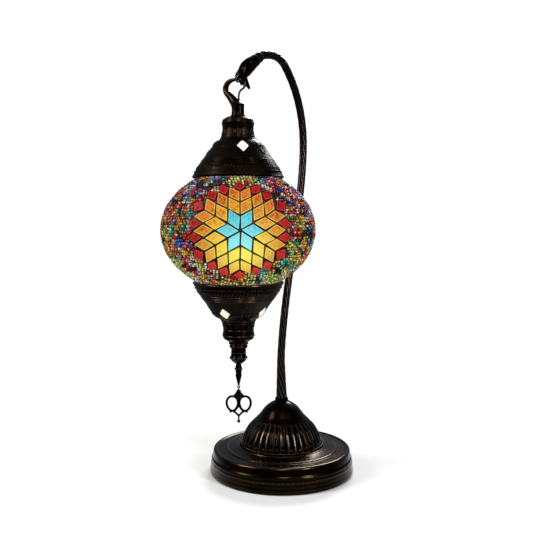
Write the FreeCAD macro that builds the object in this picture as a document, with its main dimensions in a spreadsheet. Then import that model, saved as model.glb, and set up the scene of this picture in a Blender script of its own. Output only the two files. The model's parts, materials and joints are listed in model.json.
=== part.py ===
"""Swan-neck table lamp with a mosaic glass lantern.

Frame: origin at the centre of the underside of the base, +Z up. The swan neck lies in the YZ plane and
carries the lantern towards -Y. All sizes are in millimetres.
"""

import FreeCAD, Part
import math
import os

import Sketcher

Vector = FreeCAD.Vector
UP = Vector(0, 0, 1)
doc = FreeCAD.newDocument("mosaic_lamp")

# ---------------------------------------------------------------- driving dimensions

SIZES = {
    # base
    "base_radius": 83.0,
    "base_foot_gap": 0.8,
    "base_foot_round": 2.0,
    "base_step_height": 18.5,
    "base_step_width": 2.6,
    "base_rim_radius": 79.0,
    "base_rim_height": 28.4,
    "base_rim_round": 2.0,
    "base_dish_radius": 73.5,
    "base_dish_depth": 0.9,
    "base_ring_radius": 63.0,
    "base_crown_height": 32.2,
    "base_sheet": 1.2,
    "felt_thickness": 2.0,
    "cover_thickness": 1.2,
    "cover_clearance": 0.6,
    "weight_radius": 46.0,
    "weight_thickness": 8.0,
    # hollow threaded rod that ties the base, the dome and the stem together
    "rod_radius": 4.0,
    "rod_bore": 2.4,
    "rod_grip": 12.0,
    "rod_clearance": 0.15,
    "nut_height": 5.0,
    "nut_corner": 7.5,
    "washer_radius": 10.0,
    "washer_thickness": 1.4,
    "bush_radius": 4.5,
    "bush_flange": 6.2,
    "bush_bore": 2.2,
    "bush_height": 10.0,
    # fluted dome
    "dome_foot_radius": 46.4,
    "dome_foot_height": 3.0,
    "dome_skirt_radius": 44.6,
    "dome_waist_radius": 29.0,
    "dome_waist_height": 30.5,
    "dome_height": 50.3,
    "dome_crown_radius": 7.5,
    "dome_skirt_round": 62.0,
    "dome_crown_round": 34.0,
    "dome_wall": 2.4,
    "collar_radius": 7.6,
    "collar_height": 4.0,
    # stem
    "stem_radius": 4.3,
    "stem_bore": 2.5,
    "stem_foot_radius": 6.1,
    "lead_radius": 1.5,
    # lantern place and caps
    "lantern_reach": 75.0,
    "globe_middle": 281.0,
    "globe_radius": 79.4,
    "globe_half_height": 62.5,
    "glass_wall": 2.4,
    "cap_rim_radius": 48.0,
    "cap_rim_offset": 54.8,
    "cap_height": 64.0,
    "cap_shoulder_radius": 17.2,
    "cap_neck_radius": 16.2,
    "cap_curl_in": 4.3,
    "cap_curl_height": 10.7,
    "cap_slope_in": 18.5,
    "cap_slope_drop": 33.0,
    "cap_wall": 1.1,
    "cutout_half": 6.0,
    "cutout_height": 32.0,
    "top_cutout_turn": 51.6,
    "bottom_cutout_turn": 12.0,
    "globe_mouth_radius": 34.0,
    "clip_width": 8.0,
    "clip_sheet": 0.7,
    # hook, socket and eye ring
    "socket_radius": 6.6,
    "socket_height": 15.0,
    "hook_radius": 2.6,
    "hook_tip_radius": 1.5,
    "eye_ring_radius": 3.7,
    "eye_ring_wire": 0.9,
    "eye_ring_height": 440.3,
    "eye_bore": 1.25,
    "eye_lug_width": 2.5,
    "eye_lug_thickness": 4.4,
    # lamp and holder
    "nipple_radius": 4.9,
    "nipple_bore": 3.2,
    "nipple_grip": 9.0,
    "lock_nut_height": 4.0,
    "holder_radius": 14.0,
    "holder_length": 38.0,
    "bulb_radius": 18.5,
    "bulb_cap_radius": 6.6,
    # mosaic
    "grout_thickness": 0.5,
    "bead_size": 2.5,
    "skin_gap": 0.05,
    "tile_side": 12.7,
    "tile_thickness": 2.2,
    "tile_pitch": 13.7,
    "notch_side": 10.3,
    "notch_gap": 1.2,
    "notch_open_turn": 14.0,
    "star_margin": 1.5,
    "rosette_turn": -47.0,
    "rosette_rise": 1.0,
    # finial and pendant
    "finial_radius": 9.2,
    "finial_neck_radius": 6.4,
    "stud_radius": 3.0,
    "spike_radius": 3.2,
    "spike_tip_height": 113.0,
    "link_radius": 2.1,
    "link_wire": 0.45,
    "pendant_turn": 38.0,
    "pendant_wire": 1.25,
    "pendant_length": 36.0,
}


class Size:
    """A length that carries both its number and the sheet formula it comes from."""

    def __init__(self, value, text):
        self.value = float(value)
        self.text = text

    def _join(self, other, sign, result):
        words = other.text if isinstance(other, Size) else repr(float(other))
        return Size(result, "(" + self.text + " " + sign + " " + words + ")")

    def __float__(self):
        return self.value

    def __add__(self, other):
        return self._join(other, "+", self.value + float(other))

    def __sub__(self, other):
        return self._join(other, "-", self.value - float(other))

    def __mul__(self, other):
        return self._join(other, "*", self.value * float(other))

    def __truediv__(self, other):
        return self._join(other, "/", self.value / float(other))

    def __radd__(self, other):
        return self + other

    def __rmul__(self, other):
        return self * other

    def __neg__(self):
        return Size(-self.value, "(-1 * " + self.text + ")")


class Sheet:
    """The spreadsheet of driving dimensions; each one is read as an attribute."""

    def __init__(self, sizes):
        self.page = doc.addObject("Spreadsheet::Sheet", "dims")
        for row, (name, value) in enumerate(sizes.items(), start=1):
            self.page.set("A" + str(row), name)
            self.page.set("B" + str(row), str(value))
            self.page.setAlias("B" + str(row), name)
            setattr(self, name, Size(value, "dims." + name))
        doc.recompute()


d = Sheet(SIZES)
ZERO = Size(0.0, "0")
subparts = []


def keep(piece, label):
    """Name a finished sub-part."""
    piece.Label = label
    subparts.append(piece)
    return piece


def bind(piece, **formulas):
    """Bind properties of a primitive to the sheet."""
    for name, size in formulas.items():
        piece.setExpression(name.replace("__", "."), size.text)


def stand_at(piece, y=None, z=None, turn=None):
    """Bind the Placement of a sub-part to the sheet."""
    if y is not None:
        piece.setExpression("Placement.Base.y", y.text)
    if z is not None:
        piece.setExpression("Placement.Base.z", z.text)
    if turn is not None:
        piece.setExpression("Placement.Rotation.Angle", turn.text)


def plane(body, role):
    """One of the body's own origin planes."""
    return [item for item in body.Origin.OriginFeatures if item.Role == role][0]


def outline(body, role, corners):
    """A closed sketch. Each corner is (across, up) or (across, up, round): round bows the edge that ends
    there into an arc of that radius, bulging to the left of the way it runs when positive."""
    sketch = body.newObject("Sketcher::SketchObject", body.Name + "_sketch")
    sketch.AttachmentSupport = [(plane(body, role), "")]
    sketch.MapMode = "FlatFace"
    count = len(corners)
    spots = [Vector(float(c[0]), float(c[1]), 0) for c in corners]
    ends = []
    for k in range(count):
        start, end = spots[k], spots[(k + 1) % count]
        bow = corners[(k + 1) % count]
        if len(bow) < 3:
            sketch.addGeometry(Part.LineSegment(start, end), False)
            ends.append((1, 2))
            continue
        radius = abs(float(bow[2]))
        chord = end - start
        left = Vector(-chord.y, chord.x, 0).normalize() * math.copysign(1, float(bow[2]))
        centre = (start + end) * 0.5 - left * math.sqrt(radius * radius - chord.Length * chord.Length / 4)
        angles = [math.atan2(spot.y - centre.y, spot.x - centre.x) for spot in (start, end)]
        if float(bow[2]) > 0:
            angles.reverse()
        sketch.addGeometry(Part.ArcOfCircle(Part.Circle(centre, UP, radius), *angles), False)
        ends.append((2, 1) if float(bow[2]) > 0 else (1, 2))
    for k in range(count):
        after = (k + 1) % count
        sketch.addConstraint(Sketcher.Constraint("Coincident", k, ends[k][1], after, ends[after][0]))
    for k, corner in enumerate(corners):
        for kind, size in (("DistanceX", corner[0]), ("DistanceY", corner[1])):
            if abs(float(size)) < 1e-9:
                axis = -2 if kind == "DistanceX" else -1
                sketch.addConstraint(Sketcher.Constraint("PointOnObject", k, ends[k][0], axis))
                continue
            index = sketch.addConstraint(Sketcher.Constraint(kind, -1, 1, k, ends[k][0], float(size)))
            sketch.setExpression("Constraints[" + str(index) + "]", size.text)
        if len(corner) > 2:
            radius = corner[2] if float(corner[2]) > 0 else -corner[2]
            arc = (k - 1) % count
            index = sketch.addConstraint(Sketcher.Constraint("Radius", arc, float(radius)))
            sketch.setExpression("Constraints[" + str(index) + "]", radius.text)
    return sketch


def turned(label, corners):
    """A body of revolution about Z from (radius, height) corners."""
    body = doc.addObject("PartDesign::Body", label)
    sketch = outline(body, "XZ_Plane", corners)
    spin = body.newObject("PartDesign::Revolution", label + "_spin")
    spin.Profile = sketch
    spin.ReferenceAxis = (sketch, ["V_Axis"])
    spin.Angle = 360
    return keep(body, label)


def walled(corners, wall):
    """The corners of a thin wall: the outer line, then the same line moved inwards and down by the wall."""
    inner = []
    for k, corner in enumerate(corners):
        spot = [corner[0] - wall, corner[1] - wall]
        if k == 0:
            spot[1] = corner[1]
        if k == len(corners) - 1:
            spot[0] = corner[0]
        inner.append((spot, corner[2] if len(corner) > 2 else None))
    back = []
    for k in range(len(inner) - 1, -1, -1):
        spot = inner[k][0]
        bow = inner[k + 1][1] if k + 1 < len(inner) else None
        back.append((spot[0], spot[1]) if bow is None else (spot[0], spot[1], -bow))
    return list(corners) + back


def checked_cut(body, before, name):
    """A cut has to take material away."""
    doc.recompute()
    if not body.Shape.Volume < before - 0.01:
        raise RuntimeError(name + " cut nothing")


def size_of(name):
    """The number that the sheet holds under a name."""
    return float(getattr(d.page, name))


def code_part(label, shape):
    """A sub-part whose shape is set in code from the sheet's sizes."""
    piece = doc.addObject("Part::Feature", label)
    piece.Shape = shape
    piece.Placement = FreeCAD.Placement()
    return keep(piece, label)


# ---------------------------------------------------------------- base

dish_height = d.base_rim_height - d.base_dish_depth
base_line = [
    (d.base_radius - 1.2, d.base_foot_gap),
    (d.base_radius, d.base_foot_gap + d.base_foot_round),
    (d.base_radius - 0.4, d.base_step_height),
    (d.base_radius - d.base_step_width, d.base_step_height + 1.4),
    (d.base_rim_radius, d.base_rim_height - d.base_rim_round),
    (d.base_rim_radius - d.base_rim_round, d.base_rim_height, d.base_rim_round * 1.1),
    (d.base_dish_radius, dish_height),
    (d.base_ring_radius, dish_height + 0.9),
    (d.base_ring_radius - 1.5, dish_height + 1.9),
    (d.dome_foot_radius + 3.5, d.base_crown_height - 0.9),
    (d.dome_foot_radius + 1.2, d.base_crown_height),
    (d.rod_radius + d.rod_clearance, d.base_crown_height),
]
base_line = [(c[0], c[1]) if len(c) == 2 else (c[0], c[1], -c[2]) for c in base_line]
base_shell = turned("base_shell", walled(base_line, d.base_sheet))
doc.recompute()
inlet_before = base_shell.Shape.Volume
inlet_sketch = base_shell.newObject("Sketcher::SketchObject", "inlet_sketch")
inlet_sketch.AttachmentSupport = [(plane(base_shell, "XZ_Plane"), "")]
inlet_sketch.MapMode = "FlatFace"
inlet_sketch.addGeometry(Part.Circle(Vector(0, d.bush_height.value, 0), UP, d.bush_radius.value), False)
inlet_sketch.addConstraint(Sketcher.Constraint("PointOnObject", 0, 3, -2))
row = inlet_sketch.addConstraint(Sketcher.Constraint("DistanceY", -1, 1, 0, 3, d.bush_height.value))
inlet_sketch.setExpression("Constraints[" + str(row) + "]", d.bush_height.text)
row = inlet_sketch.addConstraint(Sketcher.Constraint("Radius", 0, d.bush_radius.value))
inlet_sketch.setExpression("Constraints[" + str(row) + "]", d.bush_radius.text)
inlet = base_shell.newObject("PartDesign::Pocket", "inlet")
inlet.Profile = inlet_sketch
inlet.setExpression("Length", (d.base_radius + 5).text)
inlet.Reversed = False
checked_cut(base_shell, inlet_before, "cord inlet")
if base_shell.Shape.BoundBox.YMax < d.base_radius.value - 1:
    raise RuntimeError("the inlet is on the wrong side")

cover_bottom = d.felt_thickness
cover_radius = d.base_radius - d.base_sheet - d.cover_clearance - 1.2
turned("felt_pad", [
    (ZERO, ZERO),
    (cover_radius - 2, ZERO),
    (cover_radius - 2, d.felt_thickness),
    (ZERO, d.felt_thickness),
])
turned("base_cover", [
    (ZERO, cover_bottom),
    (cover_radius, cover_bottom),
    (cover_radius, cover_bottom + d.cover_thickness),
    (ZERO, cover_bottom + d.cover_thickness),
])

weight_top = d.base_crown_height - d.base_sheet
weight_bottom = weight_top - d.weight_thickness
rod_hole = d.rod_radius + d.rod_clearance
turned("base_weight", [
    (rod_hole, weight_bottom),
    (d.weight_radius, weight_bottom),
    (d.weight_radius, weight_top - 1.5),
    (d.weight_radius - 1.5, weight_top),
    (rod_hole, weight_top),
])
washer_bottom = weight_bottom - d.washer_thickness
turned("tie_rod_washer", [
    (rod_hole, washer_bottom),
    (d.washer_radius, washer_bottom),
    (d.washer_radius, weight_bottom),
    (rod_hole, weight_bottom),
])


def hex_nut(label, corner, height, bore, bottom, y=None):
    """A hexagonal nut: a prism with its bore cut out."""
    block = doc.addObject("Part::Prism", label + "_block")
    block.Polygon = 6
    bind(block, Circumradius=corner, Height=height)
    hole = doc.addObject("Part::Cylinder", label + "_hole")
    bind(hole, Radius=bore, Height=height)
    nut = doc.addObject("Part::Cut", label)
    nut.Base = block
    nut.Tool = hole
    stand_at(nut, y=y, z=bottom)
    return keep(nut, label)


nut_bottom = washer_bottom - d.nut_height
hex_nut("tie_rod_nut", d.nut_corner, d.nut_height, d.rod_radius + 0.05, nut_bottom)
dome_top = d.base_crown_height + d.dome_height
collar_top = dome_top + d.collar_height
rod_bottom = nut_bottom - 1.0
rod_top = collar_top + d.rod_grip
turned("tie_rod", [
    (d.rod_bore, rod_bottom),
    (d.rod_radius, rod_bottom),
    (d.rod_radius, rod_top),
    (d.rod_bore, rod_top),
])

# The bush that lines the cord inlet at the back of the base.
bush = doc.addObject("PartDesign::Body", "cord_bush")
bush_inside = d.base_radius - 6.0
bush_sketch = outline(bush, "YZ_Plane", [
    (bush_inside, d.bush_height + d.bush_bore),
    (d.base_radius + 1.6, d.bush_height + d.bush_bore),
    (d.base_radius + 1.6, d.bush_height + d.bush_flange - 0.8),
    (d.base_radius + 0.1, d.bush_height + d.bush_flange),
    (d.base_radius + 0.1, d.bush_height + d.bush_radius - 0.05),
    (bush_inside, d.bush_height + d.bush_radius - 0.05),
])
bush_axis = bush.newObject("PartDesign::Line", "bush_axis")
bush_axis.Placement = FreeCAD.Placement(Vector(0, 0, d.bush_height.value), FreeCAD.Rotation(UP, Vector(0, 1, 0)))
bush_axis.setExpression("Placement.Base.z", d.bush_height.text)
bush_spin = bush.newObject("PartDesign::Revolution", "cord_bush_spin")
bush_spin.Profile = bush_sketch
bush_spin.ReferenceAxis = (bush_axis, [""])
bush_spin.Angle = 360
keep(bush, "cord_bush")

# ---------------------------------------------------------------- dome and collar

crown = d.base_crown_height
dome_line = [
    (d.dome_foot_radius, crown),
    (d.dome_foot_radius, crown + d.dome_foot_height),
    (d.dome_skirt_radius, crown + d.dome_foot_height + 2.5),
    (d.dome_waist_radius, crown + d.dome_waist_height, -d.dome_skirt_round),
    (d.dome_crown_radius, dome_top, -d.dome_crown_round),
    (rod_hole, dome_top),
]
turned("fluted_dome", walled(dome_line, d.dome_wall))
turned("stem_collar", [
    (rod_hole, dome_top),
    (d.collar_radius, dome_top),
    (d.collar_radius, collar_top - 1.0),
    (d.collar_radius - 1.0, collar_top),
    (rod_hole, collar_top),
])

# ---------------------------------------------------------------- routes


def route(points, closeness=0.45):
    """Straight runs joined by tangent arcs, each arc as large as its two runs allow."""
    edges = []
    radii = []
    here = points[0]
    for k in range(1, len(points) - 1):
        back = points[k - 1] - points[k]
        ahead = points[k + 1] - points[k]
        turn = math.pi - back.getAngle(ahead)
        cut = closeness * min(back.Length, ahead.Length)
        radii.append(cut / math.tan(turn / 2))
        first = points[k] + back.normalize() * cut
        last = points[k] + ahead.normalize() * cut
        bisector = (back + ahead).normalize()
        centre = points[k] + bisector * (radii[-1] / math.cos(turn / 2))
        middle = centre - bisector * radii[-1]
        edges.append(Part.LineSegment(here, first).toShape())
        edges.append(Part.Arc(first, middle, last).toShape())
        here = last
    edges.append(Part.LineSegment(here, points[-1]).toShape())
    return Part.Wire(edges), radii


def tube(points, radius, name):
    """A round bar along a route; its volume is compared with its section times its length."""
    path, radii = route(points)
    start = path.Edges[0].firstVertex().Point
    ahead = points[1] - points[0]
    ring = Part.Wire(Part.Circle(start, ahead, radius).toShape())
    bar = path.makePipeShell([ring], True, False)
    expected = math.pi * radius * radius * path.Length
    if abs(bar.Volume - expected) > 0.01 * expected:
        raise RuntimeError(name + " was not swept whole")
    print(name, "length", round(path.Length, 1), "radii", [round(r, 1) for r in radii])
    return bar


def in_arm(reach, height):
    """A point in the plane of the neck, reach millimetres out towards the lantern."""
    return Vector(0, -reach, height)


# ---------------------------------------------------------------- stem, head and lead

reach = size_of("lantern_reach")
foot_height = collar_top.value
neck_top = size_of("eye_ring_height") + 34.5
stem_points = [
    in_arm(0, foot_height),
    in_arm(1.0, foot_height + 26),
    in_arm(1.5, foot_height + 52),
    in_arm(-5, foot_height + 100),
    in_arm(-17, foot_height + 155),
    in_arm(-30, foot_height + 210),
    in_arm(-39, foot_height + 262),
    in_arm(-41, neck_top - 87),
    in_arm(-34.5, neck_top - 54),
    in_arm(-18, neck_top - 22.3),
    in_arm(8, neck_top + 3.7),
    in_arm(34, neck_top - 4),
]
stem_bar = tube(stem_points, size_of("stem_radius"), "stem")
stem_hole = tube(stem_points, size_of("stem_bore"), "stem bore")
foot_cone = Part.makeCone(size_of("stem_foot_radius"), size_of("stem_radius") - 0.05, 44, stem_points[0],
                          stem_points[1] - stem_points[0])
thread = Part.makeCylinder(size_of("rod_radius") + 0.05, size_of("rod_grip") + 0.5, stem_points[0], UP)
trim = Part.makeBox(60, 60, 20, Vector(-30, -30, foot_height - 20))
stem_shape = stem_bar.fuse(foot_cone).cut(stem_hole).cut(thread).cut(trim).removeSplitter()
code_part("stem", stem_shape.Solids[0])


def swelling(stations, name):
    """A smooth solid through round sections, each (point, radius), square to the line of the points."""
    rings = []
    for k, (point, radius) in enumerate(stations):
        before = stations[max(k - 1, 0)][0]
        after = stations[min(k + 1, len(stations) - 1)][0]
        rings.append(Part.Wire(Part.Circle(point, after - before, radius).toShape()))
    body = Part.makeLoft(rings, True, False)
    if not body.isValid() or body.Volume <= 0:
        raise RuntimeError(name + " did not loft")
    return body


eye_height = size_of("eye_ring_height")
ring_radius = size_of("eye_ring_radius")
lug_height = eye_height + ring_radius
neck_end = stem_points[-1]
neck_way = (stem_points[-1] - stem_points[-2]).normalize()
head = swelling([
    (neck_end + neck_way * 0.05, 5.4),
    (neck_end + neck_way * 6, 5.6),
    (in_arm(reach - 27, lug_height + 18.5), 6.0),
    (in_arm(reach - 19.5, lug_height + 14.0), 6.9),
    (in_arm(reach - 12.5, lug_height + 9.0), 7.6),
    (in_arm(reach - 8.0, lug_height + 4.6), 6.4),
    (in_arm(reach - 7.6, lug_height - 0.6), 3.2),
    (in_arm(reach - 7.8, lug_height - 5.0), 2.3),
    (in_arm(reach - 7.6, lug_height - 9.0), 1.4),
], "swan head")
bill_root = in_arm(reach - 12.0, lug_height - 2.0)
bill_tip = in_arm(reach - 19.8, lug_height - 13.0)
lower_bill = Part.makeCone(3.0, 0.8, (bill_tip - bill_root).Length, bill_root, bill_tip - bill_root)
lug_width = size_of("eye_lug_width")
lug_thickness = size_of("eye_lug_thickness")
lug = Part.makeBox(lug_thickness, lug_width, 6.5,
                   Vector(-lug_thickness / 2, -reach - lug_width / 2, lug_height - 2.4))
eye_hole = Part.makeCylinder(size_of("eye_bore"), 12, Vector(0, -reach - 6, lug_height), Vector(0, 1, 0))
lead_radius = size_of("lead_radius")
mouth = in_arm(reach - 10.6, lug_height - 11.5)
head_points = [neck_end, neck_end + neck_way * 9, in_arm(reach - 17, lug_height + 9.5),
               in_arm(reach - 11.2, lug_height - 1), mouth]
head_bore = tube([neck_end - neck_way * 4] + head_points[1:], size_of("stem_bore") - 0.3, "head bore")
swan_head = head.fuse(lug).fuse(lower_bill).cut(eye_hole).cut(head_bore).removeSplitter()
code_part("swan_head", max(swan_head.Solids, key=lambda solid: solid.Volume))

lead_line = [
    Vector(0, size_of("base_radius") - 2, size_of("bush_height")),
    Vector(0, 46, 8.4),
    Vector(0, 16, 6.6),
    Vector(0, 0, 9.6),
]
lead_line += stem_points[1:-1] + head_points[1:]
code_part("stem_lead", tube(lead_line, lead_radius, "stem lead"))

eye_ring = Part.makeTorus(ring_radius, size_of("eye_ring_wire"), Vector(0, -reach, eye_height), Vector(1, 0, 0))
code_part("beak_ring", eye_ring)

# ---------------------------------------------------------------- hook, socket and caps

lantern_y = -d.lantern_reach
cap_rim = d.globe_middle + d.cap_rim_offset
cap_top = cap_rim + d.cap_height
socket_top = cap_top + d.socket_height
hook_rest = eye_height - ring_radius + size_of("eye_ring_wire") + 0.2
tip_radius = size_of("hook_tip_radius")
hook_top = hook_rest + tip_radius


def beside(across, height):
    """A point in the plane of the hook, which stands square to the neck."""
    return Vector(across, -reach, height)


hook_base = socket_top.value - 3.0
hook_points = [
    (beside(-3.0, hook_base), 2.6),
    (beside(-7.0, hook_base + 5.5), 2.7),
    (beside(-12.5, hook_base + 10.5), 2.8),
    (beside(-16.6, hook_base + 15.0), 2.8),
    (beside(-17.2, hook_base + 20.0), 2.7),
    (beside(-13.8, hook_base + 25.0), 2.3),
    (beside(-8.0, hook_top - 0.4), 1.9),
    (beside(-3.0, hook_top + 0.25), tip_radius),
    (beside(1.5, hook_top + 0.1), tip_radius),
    (beside(5.5, hook_top - 1.2), 1.3),
    (beside(8.0, hook_top - 3.0), 0.9),
]
hook_shape = swelling(hook_points, "hook")
code_part("lantern_hook", hook_shape)

socket_blank = doc.addObject("PartDesign::Body", "socket_blank")
socket_sketch = outline(socket_blank, "XZ_Plane", [
    (d.nipple_radius + 0.05, cap_top),
    (d.socket_radius, cap_top),
    (d.socket_radius, socket_top - 2.0),
    (d.socket_radius - 2.2, socket_top),
    (ZERO, socket_top),
    (ZERO, cap_top + d.nipple_grip),
    (d.nipple_radius + 0.05, cap_top + d.nipple_grip),
])
socket_spin = socket_blank.newObject("PartDesign::Revolution", "socket_spin")
socket_spin.Profile = socket_sketch
socket_spin.ReferenceAxis = (socket_sketch, ["V_Axis"])
socket_spin.Angle = 360
stand_at(socket_blank, y=lantern_y)

# The lead falls from the beak into the socket beside the hook and on down to the lampholder.
lead_top = lug_height - 13.5
socket_foot = cap_top.value
fall = [in_arm(reach - 9.6, lead_top), in_arm(reach - 6.6, lead_top - 6.0),
        in_arm(reach - 3.6, socket_foot + 12.5), in_arm(reach - 0.5, socket_foot + 6.5),
        in_arm(reach, socket_foot - 34.0)]
lantern_lead = tube(fall, lead_radius * 0.7, "lantern lead")
socket_holes = doc.addObject("Part::Feature", "socket_holes")
socket_holes.Shape = hook_shape.fuse(lantern_lead)
socket = doc.addObject("Part::Cut", "hook_socket")
socket.Base = socket_blank
socket.Tool = socket_holes
keep(socket, "hook_socket")


def bell_line():
    """The outer line of a spun bell, from its rim at height zero to its closed crown."""
    return [
        (d.cap_rim_radius, ZERO),
        (d.cap_rim_radius + 0.4, ZERO + 1.8),
        (d.cap_rim_radius - 1.6, ZERO + 5.5),
        (d.cap_rim_radius - d.cap_curl_in, d.cap_curl_height),
        (d.cap_rim_radius - d.cap_slope_in, d.cap_height - d.cap_slope_drop),
        (d.cap_neck_radius + 4.7, d.cap_height - 24.6, -d.cap_height * 0.25),
        (d.cap_neck_radius + 1.6, d.cap_height - 20.0, d.cap_height * 0.12),
        (d.cap_neck_radius, d.cap_height - 13.0),
        (d.cap_shoulder_radius, d.cap_height - 6.0),
        (d.cap_shoulder_radius - 1.2, d.cap_height - 2.6),
        (d.cap_shoulder_radius - 5.4, d.cap_height),
        (d.nipple_radius + 0.1, d.cap_height),
    ]


def bell(label):
    """A spun bell with four diamond cut-outs, standing on its rim."""
    body = doc.addObject("PartDesign::Body", label)
    sketch = outline(body, "XZ_Plane", walled(bell_line(), d.cap_wall))
    spin = body.newObject("PartDesign::Revolution", label + "_spin")
    spin.Profile = sketch
    spin.ReferenceAxis = (sketch, ["V_Axis"])
    spin.Angle = 360
    doc.recompute()
    before = body.Shape.Volume
    across = d.cutout_half
    level = d.cutout_height
    for role in ("XZ_Plane", "YZ_Plane"):
        diamond = outline(body, role, [
            (ZERO, level - across),
            (across, level),
            (ZERO, level + across),
            (-across, level),
        ])
        pocket = body.newObject("PartDesign::Pocket", label + "_cut_" + role[:2])
        pocket.Profile = diamond
        pocket.Type = "ThroughAll"
        pocket.Midplane = True
        checked_cut(body, before, label + " diamond")
        before = body.Shape.Volume
    return body


top_cap = keep(bell("top_cap"), "top_cap")
top_cap.Placement = FreeCAD.Placement(Vector(0, -reach, 0), FreeCAD.Rotation(UP, size_of("top_cutout_turn")))
stand_at(top_cap, y=lantern_y, z=cap_rim)
bottom_cap = keep(bell("bottom_cap"), "bottom_cap")
upside_down = FreeCAD.Rotation(UP, size_of("bottom_cutout_turn")).multiply(FreeCAD.Rotation(Vector(1, 0, 0), 180))
bottom_cap.Placement = FreeCAD.Placement(Vector(0, -reach, 0), upside_down)
lower_rim = d.globe_middle - d.cap_rim_offset
stand_at(bottom_cap, y=lantern_y, z=lower_rim)
lower_crown = lower_rim - d.cap_height


def lantern_turned(label, corners):
    """A turned piece on the lantern's own axis."""
    piece = turned(label, corners)
    stand_at(piece, y=lantern_y)
    return piece


# ---------------------------------------------------------------- lamp and holder

nipple_top = cap_top + d.nipple_grip - 0.2
nipple_bottom = cap_top - 32.0
lantern_turned("lamp_nipple", [
    (d.nipple_bore, nipple_bottom),
    (d.nipple_radius, nipple_bottom),
    (d.nipple_radius, nipple_top),
    (d.nipple_bore, nipple_top),
])
cap_nut_top = cap_top - d.cap_wall - 0.1
hex_nut("top_cap_nut", d.nipple_radius + 4.0, d.lock_nut_height, d.nipple_radius + 0.05, cap_nut_top - d.lock_nut_height, lantern_y)
holder_top = cap_top - 26.0
holder_bottom = holder_top - d.holder_length
lantern_turned("lampholder", [
    (d.bulb_cap_radius + 1.0, holder_bottom),
    (d.holder_radius - 1.0, holder_bottom),
    (d.holder_radius, holder_bottom + 1.5),
    (d.holder_radius, holder_top - 9.0),
    (d.nipple_radius + 2.6, holder_top),
    (d.nipple_radius + 0.05, holder_top),
    (d.nipple_radius + 0.05, nipple_bottom - 0.2),
    (d.nipple_bore, nipple_bottom - 0.2),
    (d.nipple_bore, nipple_bottom - 3.0),
    (d.bulb_cap_radius + 1.0, nipple_bottom - 3.0),
])
lantern_turned("lampholder_collar", [
    (d.holder_radius + 0.05, holder_bottom + 4.0),
    (d.holder_radius + 3.2, holder_bottom + 4.0),
    (d.holder_radius + 3.2, holder_bottom + 6.0),
    (d.holder_radius + 1.2, holder_bottom + 9.0),
    (d.holder_radius + 0.05, holder_bottom + 9.0),
])
bulb_cap_top = nipple_bottom - 4.2
bulb_cap_bottom = holder_bottom + 1.0
lantern_turned("bulb_cap", [
    (ZERO, bulb_cap_bottom),
    (d.bulb_cap_radius, bulb_cap_bottom),
    (d.bulb_cap_radius, bulb_cap_top - 4.0),
    (d.bulb_cap_radius - 3.2, bulb_cap_top - 1.2),
    (ZERO, bulb_cap_top),
])
bulb_tip = holder_bottom - 80.0
lantern_turned("bulb_glass", [
    (ZERO, bulb_tip),
    (d.bulb_radius * 0.55, bulb_tip + 8.5, -d.bulb_radius),
    (d.bulb_radius, bulb_tip + 34.0, -d.bulb_radius * 3),
    (d.bulb_cap_radius + 1.2, bulb_cap_bottom - 14.0, -d.bulb_radius * 3),
    (d.bulb_cap_radius, bulb_cap_bottom),
    (ZERO, bulb_cap_bottom),
])

# ---------------------------------------------------------------- glass globe and its skin

centre = Vector(0, -reach, size_of("globe_middle"))


def ellipsoid(across, up):
    """A solid ellipsoid: half an ellipse turned round the vertical axis."""
    if across >= up:
        oval = Part.Ellipse(Vector(across, 0, 0), Vector(0, 0, up), Vector(0, 0, 0))
        curve = Part.ArcOfEllipse(oval, -math.pi / 2, math.pi / 2).toShape()
    else:
        oval = Part.Ellipse(Vector(0, 0, up), Vector(across, 0, 0), Vector(0, 0, 0))
        curve = Part.ArcOfEllipse(oval, 0, math.pi).toShape()
    ends = [curve.Vertexes[0].Point, curve.Vertexes[-1].Point]
    chord = Part.LineSegment(ends[1], ends[0]).toShape()
    face = Part.Face(Part.Wire([curve, chord]))
    solid = face.revolve(Vector(0, 0, 0), UP, 360)
    solid = Part.Solid(solid) if solid.ShapeType == "Shell" else solid
    solid.translate(centre)
    return solid


globe_radius = size_of("globe_radius")
globe_half = size_of("globe_half_height")
mouth = Part.makeCylinder(size_of("globe_mouth_radius"), 4 * globe_half, centre - UP * 2 * globe_half, UP)


def skin(inner, outer):
    """A layer of the globe between two offsets from the glass, open at both mouths."""
    layer = ellipsoid(globe_radius + outer, globe_half + outer)
    return layer.cut(ellipsoid(globe_radius + inner, globe_half + inner)).cut(mouth)


skin_gap = size_of("skin_gap")
grout_top = skin_gap + size_of("grout_thickness")
code_part("glass_globe", skin(-size_of("glass_wall"), 0.0))
band_height = 2 * (size_of("cap_rim_offset") - 1.2)
band = Part.makeCylinder(2 * globe_radius, band_height, centre - UP * band_height / 2, UP)
code_part("grout_bed", skin(skin_gap, grout_top).common(band))

ROSETTES = 3
POINTS = 6
MIDDLE_TURN = math.radians(size_of("rosette_turn"))


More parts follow.
